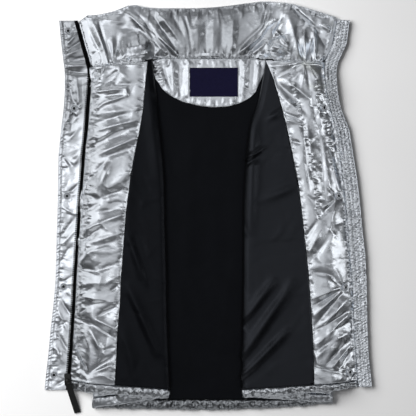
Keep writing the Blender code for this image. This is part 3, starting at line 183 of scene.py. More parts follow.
# Snap ring: radius and height of its outline, from the socket's middle over the top to the back
SNAP_OUTLINE = (
    (0.05, 0.4), (1.3, 0.4), (2.3, 0.45), (2.55, 0.9), (2.65, 1.7), (2.95, 2.0), (3.4, 1.95), (3.75, 1.45),
    (4.1, 0.95), (4.7, 0.9), (5.2, 1.3), (5.7, 1.5), (6.15, 1.35), (6.45, 0.9), (6.5, 0.4), (6.3, 0.0), (0.05, 0.0),
)
SNAP_STEPS = 48
# Radii of the snap's hole and groove, whose faces get painted shade
SNAP_HOLE = 2.5
SNAP_GROOVE = (4.0, 4.5)
SNAP_CALM = 9.0
SNAP_CLEAR = 7.0

# Zip coil: its cord's outline as shares of width and rise, and its teeth
CORD_OUTLINE = ((-1.0, 0.0), (-1.0, 0.6), (-0.6, 1.0), (0.6, 1.0), (1.0, 0.6), (1.0, 0.0))
TOOTH_PITCH = 3.6
TOOTH_LENGTH = 2.1
TOOTH_BACK = 1.3
TOOTH_CUT = 0.35
STITCH_PITCH = 3.2
STITCH_LENGTH = 2.3

# Rows of stitches on the zip guard, as shares of its width
GUARD_SEAMS = (0.08, 0.36, 0.64, 0.93)

# Cloth grids: their pitch, the sharpness of large and small creases, and how deep a trough may go
CLOTH_STEP = 1.45
STRIP_STEP = 1.4
LARGE, SMALL = 1.5, 1.25
DEEPEST = 2.4
SEAM_LAP = 1.9
LAP_COLS = 12

# Padded walls: seams and resting points are held while the rest swells
SEAM_HALF = 2.6
RESTS_BELOW = 1.2
PUFF_PRESSURE = 4.0
PUFF_SHRINK = -0.06
PUFF_BENDING = 0.05
PUFF_QUALITY = 4
PUFF_FRAMES = 12
PUFF_CAP = 5.0
SEAM_DEPTH = 2.6
PAD_LOWEST, PAD_HIGHEST = -3.0, 0.4
BAND_LIMIT = 2.6

LEFT_SNAPS = [f"snap_left_{index}" for index in range(1, 6)]
RIGHT_SNAPS = [f"snap_right_{index}" for index in range(1, 6)]


# ---------------------------------------------------------------- small tools
def lerp(a, b, t):
    return a + (b - a) * t


def ease(t):
    t = np.clip(t, 0.0, 1.0)
    return t * t * (3.0 - 2.0 * t)


def to_end(count):
    """Steps from each place in a row to the row's nearer end."""
    return np.minimum(np.arange(count), np.arange(count)[::-1])


def bell(off, width):
    return np.exp(-(off / width) ** 2)


def fade(weight, least):
    return least + (1.0 - least) * weight


def grid_of(xs, ys, zs):
    return np.stack([xs, ys, zs], axis=2)


def box_of(xs, ys):
    return xs.min(), ys.min(), xs.max(), ys.max()


def points_of(mesh):
    points = np.empty(len(mesh.vertices) * 3)
    mesh.vertices.foreach_get("co", points)
    return points.reshape(-1, 3)


class Form:
    """The surface of a CAD node or a finished piece, in mm, read by rays and slices."""

    def __init__(self, thing):
        mesh = (NODES[thing] if isinstance(thing, str) else thing).data
        self.points = points_of(mesh) / MM
        edges = np.empty(len(mesh.edges) * 2, dtype=int)
        mesh.edges.foreach_get("vertices", edges)
        self.edges = edges.reshape(-1, 2)
        faces = [tuple(p.vertices) for p in mesh.polygons]
        self.tree = BVHTree.FromPolygons(self.points.tolist(), faces)
        self.low = self.points.min(axis=0)
        self.high = self.points.max(axis=0)

    def span(self, at, axis=1):
        """Lowest and highest x at one y, or with axis 0 the lowest and highest y at one x."""
        at = min(max(at, self.low[axis] + 0.05), self.high[axis] - 0.05)
        a = self.points[self.edges[:, 0]]
        b = self.points[self.edges[:, 1]]
        cross = (a[:, axis] - at) * (b[:, axis] - at) < 0
        a, b = a[cross], b[cross]
        t = (at - a[:, axis]) / (b[:, axis] - a[:, axis])
        other = a[:, 1 - axis] + t * (b[:, 1 - axis] - a[:, 1 - axis])
        return other.min(), other.max()

    def z(self, x, y, up=False):
        start = Vector((x, y, -300.0 if up else 300.0))
        hit = self.tree.ray_cast(start, Vector((0, 0, 1 if up else -1)))[0]
        if hit is None:
            hit = self.tree.find_nearest(Vector((x, y, self.low[2] if up else self.high[2])))[0]
        return hit.z

    def heights(self, xs, ys, up=False):
        flat = [self.z(x, y, up) for x, y in zip(xs.ravel().tolist(), ys.ravel().tolist())]
        return np.array(flat).reshape(xs.shape)

    def over(self, xs, ys):
        """Height of the form below each point, and far down where it isn't."""
        made = []
        for x, y in zip(xs.ravel().tolist(), ys.ravel().tolist()):
            hit = self.tree.ray_cast(Vector((x, y, 300.0)), Vector((0, 0, -1)))[0]
            made.append(-99.0 if hit is None else hit.z)
        return np.array(made).reshape(xs.shape)

    def towards(self, centre, direction, reach=40.0):
        """Outermost point of the form on a ray from the centre."""
        hit = self.tree.ray_cast(centre + direction * reach, -direction)[0]
        return hit if hit is not None else self.tree.find_nearest(centre + direction * 10.0)[0]


def blur(grid, rounds):
    """Softens a grid of heights or points, keeping its border."""
    for _ in range(rounds):
        inner = grid[1:-1, 1:-1]
        around = grid[:-2, 1:-1] + grid[2:, 1:-1] + grid[1:-1, :-2] + grid[1:-1, 2:]
        grid = grid.copy()
        grid[1:-1, 1:-1] = inner * 0.4 + around * 0.15
    return grid


def relief(xs, ys, creases, power=1.5):
    """Height that a list of creases gives at each point."""
    total = np.zeros(xs.shape)
    for c in creases:
        reach = 2.6 * c.width
        near = (xs > min(c.x0, c.x1) - reach) & (xs < max(c.x0, c.x1) + reach)
        near &= (ys > min(c.y0, c.y1) - reach) & (ys < max(c.y0, c.y1) + reach)
        if not near.any():
            continue
        x, y = xs[near], ys[near]
        dx, dy = c.x1 - c.x0, c.y1 - c.y0
        along = np.clip(((x - c.x0) * dx + (y - c.y0) * dy) / (dx * dx + dy * dy), 0.0, 1.0)
        off = np.hypot(x - c.x0 - along * dx, y - c.y0 - along * dy) / c.width
        total[near] += c.height * np.sin(math.pi * (0.12 + 0.76 * along)) * np.exp(-off ** power)
    return total


def crumple(dice, box, count, length, width, height, lean, spread):
    """Many short creases strewn over a box, leaning about one angle in degrees."""
    made = []
    for _ in range(count):
        x, y = dice.uniform(box[0], box[2]), dice.uniform(box[1], box[3])
        turn = math.radians(lean + dice.gauss(0.0, spread))
        half = dice.uniform(0.5, 1.3) * length / 2
        rise = dice.uniform(0.4, 1.2) * height * dice.choice((1, -1))
        dx, dy = half * math.cos(turn), half * math.sin(turn)
        made.append(Crease(x - dx, y - dy, x + dx, y + dy, width * dice.uniform(0.6, 1.4), rise))
    return made


def puckers(dice, line, pitch, reach, width, height, lean=90.0, spread=18.0, two_sided=False):
    """Short creases that a row of stitches draws together, along a line of points."""
    made = []
    for (x0, y0), (x1, y1) in zip(line, line[1:]):
        long = math.hypot(x1 - x0, y1 - y0)
        heading = math.atan2(y1 - y0, x1 - x0)
        at = dice.uniform(0.2, 0.8) * pitch
        while at < long:
            x, y = lerp(x0, x1, at / long), lerp(y0, y1, at / long)
            turn = heading + math.radians(lean + dice.gauss(0.0, spread))
            far = reach * dice.uniform(0.4, 1.3)
            back = far * 0.5 if two_sided else far * 0.1
            dx, dy = math.cos(turn), math.sin(turn)
            rise = height * dice.uniform(0.4, 1.2) * dice.choice((1, -1))
            made.append(Crease(x - dx * back, y - dy * back, x + dx * far, y + dy * far,
                               width * dice.uniform(0.7, 1.4), rise))
            at += pitch * dice.uniform(0.5, 1.5)
    return made


def snap_place(name):
    """Middle of a CAD snap's back, and the way the snap faces."""
    points = Form(name).points
    middle = points.mean(axis=0)
    axis = np.linalg.svd(points - middle, full_matrices=False)[2][2]
    axis = axis if axis[2] > 0 else -axis
    return middle + axis * ((points - middle) @ axis).min(), axis


def calm(xs, ys, names):
    """0 under each snap, 1 away from it, for the creases' height."""
    weight = np.ones(xs.shape)
    for name in names:
        x, y = snap_place(name)[0][:2]
        weight *= 1.0 - np.exp(-(np.hypot(xs - x, ys - y) / SNAP_CALM) ** 6)
    return weight


def stars(dice, names, height=1.2, reach=20.0):
    """Creases that run out from each snap."""
    made = []
    for name in names:
        x, y = snap_place(name)[0][:2]
        turn = dice.uniform(0.0, 40.0)
        sign = 1
        while turn < 360.0:
            dx, dy = math.cos(math.radians(turn)), math.sin(math.radians(turn))
            far = reach * dice.uniform(0.5, 1.2)
            made.append(Crease(x + dx * SNAP_CLEAR, y + dy * SNAP_CLEAR, x + dx * far, y + dy * far,
                               dice.uniform(1.6, 2.6), sign * height * dice.uniform(0.5, 1.2)))
            turn += dice.uniform(22.0, 50.0)
            sign = -sign
    return made


def grid_normals(grid):
    """Unit normal at each point of a grid of points."""
    down = np.gradient(grid, axis=0)
    across = np.gradient(grid, axis=1)
    normal = np.cross(across, down)
    return normal / np.maximum(np.linalg.norm(normal, axis=2, keepdims=True), 1e-9)


def new_piece(name, points, faces, finish, smooth=True):
    mesh = bpy.data.meshes.new(name)
    mesh.from_pydata([tuple(p) for p in (np.asarray(points) * MM).tolist()], [], faces)
    mesh.validate()
    piece = bpy.data.objects.new(name, mesh)
    bpy.context.scene.collection.objects.link(piece)
    mesh.materials.append(finish)
    mesh.polygons.foreach_set("use_smooth", [smooth] * len(mesh.polygons))
    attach(piece, "vest")
    return piece


def quads(rows, cols, start=0, flip=False):
    made = []
    for i in range(rows - 1):
        for j in range(cols - 1):
            a = start + i * cols + j
            face = (a, a + cols, a + cols + 1, a + 1)
            made.append(face[::-1] if flip else face)
    return made


def faces_up(grid):
    """True if a grid's own faces look up."""
    middle = grid[grid.shape[0] // 2, grid.shape[1] // 2]
    below = grid[grid.shape[0] // 2 + 1, grid.shape[1] // 2]
    beside = grid[grid.shape[0] // 2, grid.shape[1] // 2 + 1]
    return np.cross(below - middle, beside - middle)[2] > 0


def sheet_piece(name, node, grid, finish, rim=1.3, turn_in=3.0):
    """A cloth in place of a node, from a grid of points, with its edge turned down and in."""
    full = np.pad(grid, ((2, 2), (2, 2), (0, 0)), mode="edge")
    rows, cols = full.shape[:2]
    ring = np.minimum.outer(to_end(rows), to_end(cols))
    full[ring < 2, 2] -= rim
    centre_row = np.clip(np.arange(rows), 4, rows - 5)
    centre_col = np.clip(np.arange(cols), 4, cols - 5)
    inward = full[np.ix_(centre_row, centre_col)] - full
    inward[..., 2] = 0.0
    long = np.maximum(np.linalg.norm(inward, axis=2, keepdims=True), 1e-6)
    edge = ring == 0
    full[edge] += (inward / long * turn_in)[edge]
    piece = new_piece(name, full.reshape(-1, 3), quads(rows, cols, flip=not faces_up(grid)), finish)
    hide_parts(node)
    return piece


def closed_piece(name, node, xs, ys, top, low, finish):
    """A closed flat piece in place of a node, between an upper and a lower grid of heights."""
    upper = grid_of(xs, ys, top)
    rows, cols = xs.shape
    count = rows * cols
    up = faces_up(upper)
    faces = quads(rows, cols, flip=not up) + quads(rows, cols, count, flip=up)
    border = list(range(cols)) + [i * cols + cols - 1 for i in range(1, rows)]
    border += [(rows - 1) * cols + j for j in range(cols - 2, -1, -1)]
    border += [i * cols for i in range(rows - 2, 0, -1)]
    for a, b in zip(border, border[1:] + border[:1]):
        face = (a, b, b + count, a + count)
        faces.append(face[::-1] if up else face)
    points = np.concatenate([upper.reshape(-1, 3), grid_of(xs, ys, low).reshape(-1, 3)])
    piece = new_piece(name, points, faces, finish)
    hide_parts(node)
    return piece


# ---------------------------------------------------------------- materials
class Nodes:
    """Short way to wire the nodes of a material or the world."""

    def __init__(self, owner, shader="Principled BSDF", place="Object"):
        owner.use_nodes = True
        self.owner = owner
        self.tree = owner.node_tree
        self.shader = self.tree.nodes[shader]
        self.place = self.add("ShaderNodeTexCoord").outputs[place]

    def add(self, kind, **settings):
        node = self.tree.nodes.new(kind)
        for key, value in settings.items():
            if hasattr(node, key):
                setattr(node, key, value)
            else:
                node.inputs[key.replace("_", " ").title()].default_value = value
        return node

    def link(self, source, target):
        self.tree.links.new(source, target)

    def noise(self, scale, detail=3.0, rough=0.55, stretch=None):
        node = self.add("ShaderNodeTexNoise", scale=scale, detail=detail, roughness=rough)
        self.link(self.stretched(stretch), node.inputs["Vector"])
        return node.outputs["Fac"]

    def stretched(self, stretch):
        if stretch is None:
            return self.place
        mapping = self.add("ShaderNodeMapping")
        mapping.inputs["Scale"].default_value = stretch
        self.link(self.place, mapping.inputs["Vector"])
        return mapping.outputs["Vector"]

    def ridges(self, scale, slant):
        """Thin ridges that run at the slant."""
        turn = self.add("ShaderNodeMapping", vector_type="TEXTURE")
        turn.inputs["Rotation"].default_value = (0.0, 0.0, slant)
        turn.inputs["Scale"].default_value = (3.2, 1.0, 1.0)
        self.link(self.place, turn.inputs["Vector"])
        node = self.add("ShaderNodeTexNoise", noise_type="RIDGED_MULTIFRACTAL", scale=scale, detail=2.0)
        self.link(turn.outputs["Vector"], node.inputs["Vector"])
        return node.outputs["Fac"]

    def voronoi(self, scale, stretch=None):
        node = self.add("ShaderNodeTexVoronoi", scale=scale)
        self.link(self.stretched(stretch), node.inputs["Vector"])
        return node.outputs["Distance"]

    def wave(self, scale, direction):
        node = self.add("ShaderNodeTexWave", bands_direction=direction, scale=scale)
        self.link(self.place, node.inputs["Vector"])
        return node.outputs["Fac"]

    def shaded(self, colour, axis, *stops):
        """Painted light and shade: colour times a share that changes along x or y, given at places in mm."""
        split = self.add("ShaderNodeSeparateXYZ")
        self.link(self.place, split.inputs["Vector"])
        first, last = stops[0][0], stops[-1][0]
        reach = self.add("ShaderNodeMapRange", from_min=first * MM, from_max=last * MM)
        self.link(split.outputs[axis], reach.inputs["Value"])
        places = [((at - first) / (last - first), (value, value, value)) for at, value in stops]
        share = self.ramp(reach.outputs["Result"], *places)
        mix = self.add("ShaderNodeMix")
        mix.data_type, mix.blend_type = "RGBA", "MULTIPLY"
        mix.inputs["Factor"].default_value = 1.0
        self.link(colour, mix.inputs[6])
        self.link(share, mix.inputs[7])
        return mix.outputs[2]

    def ramp(self, source, *stops):
        node = self.add("ShaderNodeValToRGB")
        elements = node.color_ramp.elements
        while len(elements) < len(stops):
            elements.new(0.5)
        for element, (position, colour) in zip(elements, stops):
            element.position = position
            element.color = colour if len(colour) == 4 else (*colour, 1.0)
        self.link(source, node.inputs["Fac"])
        return node.outputs["Color"]

    def between(self, source, low, high):
        node = self.add("ShaderNodeMapRange", to_min=low, to_max=high)
        self.link(source, node.inputs["Value"])
        return node.outputs["Result"]

    def bump(self, height, strength, distance, under=None):
        node = self.add("ShaderNodeBump", strength=strength, distance=distance)
        self.link(height, node.inputs["Height"])
        if under is not None:
            self.link(under, node.inputs["Normal"])
        return node.outputs["Normal"]

    def finish(self, colour, roughness, normal=None):
        for source, socket in ((colour, "Base Color"), (roughness, "Roughness"), (normal, "Normal")):
            if source is not None:
                self.link(source, self.shader.inputs[socket])
        return self.owner


def nodes_for(name, **values):
    """A new material's nodes, with constant numbers set on its shader."""
    n = Nodes(bpy.data.materials.new(name))
    for key, value in values.items():
        n.shader.inputs[key.replace("_", " ").title().replace("Ior", "IOR")].default_value = value
    return n


def grey(value):
    return (value * 0.935, value * 0.985, value * 1.05)


def silver_material(name, crinkle=1.0, light=1.0, axis=None, stops=(), slant=0.5):
    """Crushed foil cloth. Its fine creases run at the slant, in radians from the x axis. Light scales its colour;
    along an axis the stops scale it further in bands: painted light and shade.
    """
    n = nodes_for(name, metallic=1.0)
    colour = n.ramp(n.noise(30.0, 3.0), (0.3, grey(0.74 * light)), (0.7, grey(0.9 * light)))
    # Painted light and shade: the colour is scaled in bands along x or y
    if axis:
        colour = n.shaded(colour, axis, *stops)
    rough = n.between(n.noise(45.0, 2.0), 0.23, 0.35)
    normal = n.bump(n.noise(46.0, 2.0, 0.5, (1.0, 1.5, 1.0)), 0.10 * crinkle, 0.004)
    normal = n.bump(n.voronoi(120.0, (1.0, 1.6, 1.0)), 0.06 * crinkle, 0.0022, normal)
    normal = n.bump(n.ridges(70.0, slant), 0.55, 0.0016 * crinkle, normal)
    normal = n.bump(n.ridges(110.0, slant - 0.9), 0.4, 0.0009 * crinkle, normal)
    normal = n.bump(n.voronoi(420.0), 0.05 * crinkle, 0.0007, normal)
    normal = n.bump(n.wave(2400.0, "X"), 0.04, 0.0001, normal)
    normal = n.bump(n.wave(2400.0, "Y"), 0.04, 0.0001, normal)
    return n.finish(colour, rough, normal)


def lining_material(name, light=1.0, gloss=0.1):
    n = nodes_for(name, sheen_weight=0.02 * light, sheen_roughness=0.5, specular_ior_level=gloss,
                  specular_tint=(0.78, 0.85, 1.0, 1.0))
    low = (0.002 * light, 0.0022 * light, 0.003 * light)
    high = (0.0035 * light, 0.0038 * light, 0.0052 * light)
    colour = n.ramp(n.noise(26.0, 3.0), (0.3, low), (0.75, high))
    rough = n.between(n.noise(90.0, 2.0), 0.29, 0.41)
    normal = n.bump(n.noise(30.0, 3.0, 0.5), 0.18, 0.003)
    normal = n.bump(n.wave(1500.0, "DIAGONAL"), 0.12, 0.00015, normal)
    return n.finish(colour, rough, normal)


def woven_material(name, low, high, pitch, rough=(0.55, 0.75), gloss=0.2):
    n = nodes_for(name, sheen_weight=0.02, specular_ior_level=gloss)
    colour = n.ramp(n.noise(300.0, 3.0), (0.3, low), (0.75, high))
    normal = n.bump(n.wave(pitch, "X"), 0.3, 0.0002)
    normal = n.bump(n.wave(pitch * 0.8, "Y"), 0.35, 0.00025, normal)
    return n.finish(colour, n.between(n.noise(140.0), *rough), normal)


def hard_material(name, low, high, metallic, rough):
    n = nodes_for(name, metallic=metallic)
    colour = n.ramp(n.noise(220.0, 4.0), (0.3, low), (0.7, high))
    normal = n.bump(n.noise(900.0, 2.0), 0.12, 0.0001)
    return n.finish(colour, n.between(n.noise(160.0), *rough), normal)


SILVER = silver_material("silver_cloth_look", 1.0, 0.92)
SILVER_FINE = silver_material("silver_band_look", 1.3)
# Collar: painted shade darkens its colour across the middle, and the brighter copy paints light at the sides
SILVER_COLLAR_PAINTED_SHADE = silver_material(
    "silver_collar_look", 1.0, 1.1, "X",
    ((-230.0, 0.88), (-110.0, 0.8), (-50.0, 0.56), (60.0, 0.53), (110.0, 1.0), (230.0, 1.0)), 1.3)
# Right facing: a brighter copy of the silver, darker towards the hem: painted light and shade
SILVER_RIGHT_PAINTED_SHADE = silver_material(
    "silver_right_look", 1.0, 1.12, "Y",
    ((-300.0, 0.82), (0.0, 0.86), (120.0, 0.9), (200.0, 1.0), (260.0, 1.0)), -0.5)
# Storm flap: a brighter copy of the silver, darkened towards its top: painted light and shade
SILVER_FLAP_PAINTED_SHADE = silver_material(
    "silver_flap_look", 1.0, 1.08, "Y",
    ((-300.0, 1.0), (60.0, 1.0), (130.0, 0.9), (175.0, 0.6), (330.0, 0.6)))
SILVER_SHELL = silver_material("silver_shell_look", 0.8, 0.95)
# Hem bands: darker copies of the silver, the back one darkest: painted shade
SILVER_HEM_PAINTED_SHADE = silver_material("silver_hem_look", 1.3, 0.64)
SILVER_LOW_HEM_PAINTED_SHADE = silver_material("silver_low_hem_look", 1.3, 0.32)
THREAD = woven_material("silver_thread_look", grey(0.56), grey(0.78), 3000.0, (0.35, 0.5))
LINING = lining_material("black_lining_look")
LINING_LEFT = lining_material("left_lining_look", 0.9, 0.17)
LINING_RIGHT = lining_material("right_lining_look", 0.5, 0.4)
NAVY = woven_material("navy_label_look", (0.005, 0.004, 0.036), (0.009, 0.007, 0.055), 1300.0)
NAVY_THREAD = woven_material("navy_thread_look", (0.012, 0.010, 0.07), (0.02, 0.018, 0.1), 3000.0,
                             (0.4, 0.5))
TAPE = woven_material("zip_tape_look", (0.002, 0.002, 0.0025), (0.005, 0.005, 0.006), 1100.0,
                      (0.6, 0.8), 0.1)
TEETH = woven_material("zip_teeth_look", (0.002, 0.002, 0.0025), (0.004, 0.004, 0.005), 2500.0,
                       (0.6, 0.75), 0.05)
PLASTIC = hard_material("zip_plastic_look", grey(0.004), grey(0.010), 0.0, (0.3, 0.45))
SNAP = hard_material("snap_metal_look", grey(0.7), grey(0.88), 0.65, (0.24, 0.38))
# Near-black metal for the snap's hole and groove: painted shade
SNAP_PAINTED_SHADE = hard_material("snap_socket_look", grey(0.02), grey(0.05), 1.0, (0.35, 0.5))


# ---------------------------------------------------------------- cloth grids
def between_ends(spans, cols):
    """Even places from the first to the last x of each row."""
    part = np.linspace(0.0, 1.0, cols)[None, :]
    return spans[:, :1] * (1.0 - part) + spans[:, 1:] * part


def zip_gap(y):
    """How far the left zip's tape shows past its solid towards the facing."""
    return 0.4 + 1.5 * ease((222.0 - y) / 20.0) * ease((y - 110.0) / 40.0)


def edge_grid(form, corner, side, neck_edge):
    """Grid over a facing's form between its outer and its inner edge, as x and y arrays."""
    outer, inner = [], []
    for v in np.linspace(0.0, 1.0, int(abs(corner.outer_top - corner.outer_low) / CLOTH_STEP) + 1):
        yo = lerp(corner.outer_top, corner.outer_low, v)
        yi = lerp(corner.inner_top, corner.inner_low, v)
        so, si = form.span(yo), form.span(yi)
        outer.append((so[0] + zip_gap(yo) if side < 0 else so[1], yo))
        x = si[1] if side < 0 else si[0]
        if yi > neck_edge[0].y:
            x = np.interp(yi, [row.y for row in neck_edge], [row.x for row in neck_edge])
        inner.append((x, yi))
    outer, inner = np.array(outer), np.array(inner)
    wide = np.abs(outer[:, 0] - inner[:, 0]).max()
    part = np.linspace(0.0, 1.0, int(wide / CLOTH_STEP) + 1)[None, :, None]
    line = outer[:, None, :] * (1.0 - part) + inner[:, None, :] * part
    return line[..., 0], line[..., 1]


def edge_weight(shape, step, reach):
    """0 at a grid's border, 1 from `reach` mm inwards."""
    return ease(np.minimum.outer(to_end(shape[0]), to_end(shape[1])) * step / reach)


def line_of(form, corner, part, side, step=12.0):
    """Points along a facing at a share of its width, 0 at the outer edge."""
    made = []
    count = int(abs(corner.outer_top - corner.outer_low) / step)
    top = lerp(corner.outer_top, corner.inner_top, part)
    bottom = lerp(corner.outer_low, corner.inner_low, part)
    for v in np.linspace(0.01, 0.99, count):
        y = lerp(top, bottom, v)
        low, high = form.span(y)
        outer, inner = (low, high) if side < 0 else (high, low)
        made.append((lerp(outer, inner, part), y))
    return made


def shift_line(line, dx):
    return [(x + dx, y) for x, y in line]


def ropes(inner, guard_side):
    """The two stitched ropes of puckers down the right facing, from its two edges."""
    return ([p for p in shift_line(inner, 28.0) if -20.0 < p[1] < 250.0],
            [p for p in shift_line(guard_side, -16.0) if 60.0 < p[1] < 235.0])


def facing(name, node, corner, side, creases, seed, extra, lining):
    """Silver facing of a front: main creases, puckered edges and crumple."""
    form = Form(node)
    neck_edge = LEFT_NECK_EDGE if side < 0 else RIGHT_NECK_EDGE
    xs, ys = edge_grid(form, corner, side, neck_edge)
    base = blur(form.heights(xs, ys), 14)
    dice = random.Random(seed)
    names = LEFT_SNAPS if side < 0 else RIGHT_SNAPS
    small = crumple(dice, box_of(xs, ys), 70, 32.0, 4.8, 1.2, side * 25.0, 45.0)
    small += crumple(dice, box_of(xs, ys), 70, 14.0, 2.6, 0.5, 0.0, 70.0)
    small += extra(dice, form, corner)
    if side > 0:
        small += stars(dice, names)
    weight = edge_weight(xs.shape, CLOTH_STEP, 5.0)
    lift = relief(xs, ys, creases, LARGE) * weight + relief(xs, ys, small, SMALL) * fade(weight, 0.35)
    zs = np.maximum(base + lift * calm(xs, ys, names), base - DEEPEST)
    lap = slice(-LAP_COLS, None)
    below_neck = ys[:, lap] < neck_edge[0].y - 4.0
    cover = lining.over(xs[:, lap], ys[:, lap]) + 0.5 - 99.0 * below_neck
    zs[:, lap] = np.maximum(zs[:, lap], cover)
    # The right facing's silver carries painted light and shade
    finish = SILVER if side < 0 else SILVER_RIGHT_PAINTED_SHADE
    return sheet_piece(name, node, grid_of(xs, ys, zs), finish), form


def left_extra(dice, form, corner):
    zip_side = line_of(form, corner, 0.0, -1)
    made = puckers(dice, shift_line(zip_side, 2.0), 4.2, 9.0, 1.7, 1.5, 90.0)
    made += puckers(dice, shift_line(zip_side, 12.0), 6.0, 9.0, 2.0, 1.3, 90.0)
    made += puckers(dice, shift_line(line_of(form, corner, 1.0, -1), -1.0), 7.5, 9.0, 2.2, 1.4, -90.0)
    return made


def right_extra(dice, form, corner):
    inner = line_of(form, corner, 1.0, 1)
    middle = [p for p in inner if -165.0 < p[1] < 160.0]
    made = puckers(dice, shift_line(middle, 2.0), 4.6, 26.0, 2.4, 2.2, -90.0, 14.0)
    made += puckers(dice, shift_line(inner, 1.0), 8.0, 8.0, 2.2, 1.2, -90.0)
    guard_side = line_of(form, corner, 0.0, 1)
    made += puckers(dice, shift_line(guard_side, -4.0), 4.4, 9.0, 1.8, 1.4, 90.0)
    for rope in ropes(inner, guard_side):
        made += puckers(dice, rope, 4.2, 6.0, 1.9, 1.9, 90.0, 20.0, True)
    return made


def wrapped_lining(name, node, side, corner, creases, seed):
    """Lining of a front, over its upper half and round the fold."""
    form = Form(node)
    rows = int(abs(corner.outer_top - corner.outer_low) / 2.4) + 1
    flat_cols, turn_cols = 26, 22
    grid = np.zeros((rows, flat_cols + turn_cols, 3))
    for i, v in enumerate(np.linspace(0.0, 1.0, rows)):
        yo = lerp(corner.outer_top, corner.outer_low, v)
        yi = lerp(corner.inner_top, corner.inner_low, v)
        outer = form.span(yo)[0 if side < 0 else 1]
        edge = form.span(yi)[1 if side < 0 else 0]
        centre = edge + side * FOLD_REACH
        for j in range(flat_cols):
            part = j / flat_cols
            x, y = lerp(outer, centre, part), lerp(yo, yi, part)
            grid[i, j] = (x, y, form.z(x, y))
        for j in range(turn_cols):
            turn = math.radians(lerp(90.0, -42.0, j / (turn_cols - 1)))
            aim = Vector((-side * math.cos(turn), 0.0, math.sin(turn)))
            grid[i, flat_cols + j] = form.towards(Vector((centre, yi, FOLD_CENTRE_Z)), aim)
    grid = blur(grid, 6)
    normal = grid_normals(grid)
    if normal[rows // 2, 4, 2] < 0:
        normal = -normal
    dice = random.Random(seed)
    xs, ys = grid[..., 0], grid[..., 1]
    small = crumple(dice, box_of(xs, ys), 60, 34.0, 5.0, 0.7, side * 50.0, 35.0)
    lift = relief(xs, ys, creases, 1.7) * (2.4 if side < 0 else 3.2) + relief(xs, ys, small, 1.6)
    weight = ease(to_end(rows) / 6.0)[:, None]
    grid = grid + normal * np.maximum(lift * weight, -0.45)[..., None]
    finish = LINING_LEFT if side < 0 else LINING_RIGHT
    return sheet_piece(name, node, grid, finish, 0.5, 1.5)


def collar_grid():
    """Grid from the collar's lapped seam to its top edge."""
    seam = np.array([(r.seam_x, r.seam_y) for r in COLLAR])
    top = np.array([(r.top_x, r.top_y) for r in COLLAR])
    at = np.concatenate([[0.0], np.cumsum(np.linalg.norm(np.diff((seam + top) / 2, axis=0), axis=1))])
    steps = np.linspace(0.0, at[-1], int(at[-1] / CLOTH_STEP) + 1)
    seam, top = (np.stack([np.interp(steps, at, line[:, k]) for k in (0, 1)], axis=1) for line in (seam, top))
    out = (seam - top) / np.linalg.norm(seam - top, axis=1, keepdims=True)
    wave = 0.9 * np.sin(steps * 0.83) + 0.8 * np.sin(steps * 0.37 + 1.0)
    seam = seam + out * (SEAM_LAP + wave)[:, None]
    part = np.linspace(0.0, 1.0, int(92.0 / CLOTH_STEP) + 1)[:, None, None]
    line = seam[None] * (1.0 - part) + top[None] * part
    return line[..., 0], line[..., 1]


def collar_lining(under):
    """Silver lining of the collar, its low edge lapped over the cloths below it."""
    xs, ys = collar_grid()
    base = blur(Form("collar_facing").heights(xs, ys), 10)
    dice = random.Random(31)
    seam = [(r.seam_x, r.seam_y + 1.0) for r in COLLAR]
    edge = [(r.top_x, r.top_y - 2.0) for r in COLLAR]
    small = puckers(dice, seam, 6.0, 12.0, 2.2, 2.0, 90.0)
    small += puckers(dice, edge, 5.0, 9.0, 1.7, 1.2, -90.0)
    small += puckers(dice, edge[6:18], 7.0, 26.0, 2.6, 1.6, -90.0, 8.0)
    small += crumple(dice, box_of(xs, ys), 50, 30.0, 4.6, 1.1, 80.0, 35.0)
    small += crumple(dice, box_of(xs, ys), 60, 14.0, 2.6, 0.5, 0.0, 70.0)
    weight = edge_weight(xs.shape, CLOTH_STEP, 5.0)
    middle = ease((xs + 75.0) / 30.0) * ease((70.0 - xs) / 30.0)
    deeper = 1.0 + 0.9 * ease((xs - 80.0) / 60.0) - 0.45 * middle
    large = relief(xs, ys, COLLAR_CREASES, LARGE) * weight * deeper
    zs = base + large + relief(xs, ys, small, SMALL) * fade(weight, 0.35)
    zs = np.maximum(zs, base - DEEPEST * deeper)
    low = slice(0, 5)
    cover = np.maximum.reduce([cloth.over(xs[low], ys[low]) for cloth in under])
    zs[low] = np.maximum(zs[low], cover + 0.25)
    # The collar takes the silver with painted shade across its middle
    return sheet_piece("collar_lining_cloth", "collar_facing", grid_of(xs, ys, zs), SILVER_COLLAR_PAINTED_SHADE,
                       0.8)


def neck_cloth():
    """Half-moon facing, gathered at the neck and calm under the label."""
    form = Form("neck_facing")
    cols = np.linspace(form.low[0] + 0.3, form.high[0] - 0.3, 120)
    lows, highs = np.array([form.span(x, 0) for x in cols]).T
    ys = between_ends(np.stack([highs, lows], axis=1), 56).T
    xs = np.repeat(cols[None], 56, axis=0)
    xs = xs * (1.0 + 0.045 * ease((ys - 215.0) / 45.0))
    base = blur(form.heights(xs, ys), 8)
    dice = random.Random(47)
    low_edge = list(zip(cols.tolist(), (lows + 1.0).tolist()))[::8]
    box = (form.low[0], form.low[1], form.high[0], form.high[1])
    small = puckers(dice, low_edge, 6.5, 16.0, 2.4, 1.6, 90.0, 14.0)
    small += puckers(dice, [(-92.0, 258.0), (92.0, 258.0)], 6.0, 12.0, 2.2, 1.4, -90.0)
    small += crumple(dice, box, 60, 18.0, 2.4, 0.8, 85.0, 30.0)
    weight = edge_weight(xs.shape, 1.5, 4.0)
    lift = relief(xs, ys, NECK_CREASES, 1.6) * weight + relief(xs, ys, small, 1.3) * fade(weight, 0.4)
    under_label = ease((42.0 - np.abs(xs - 10.0)) / 8.0) * ease((246.0 - ys) / 6.0) * ease((ys - 190.0) / 6.0)
    zs = np.maximum(base + lift * (1.0 - 0.75 * under_label), base - 1.2)
    return sheet_piece("neck_facing_cloth", "neck_facing", grid_of(xs, ys, zs), SILVER, 1.0, 2.0)


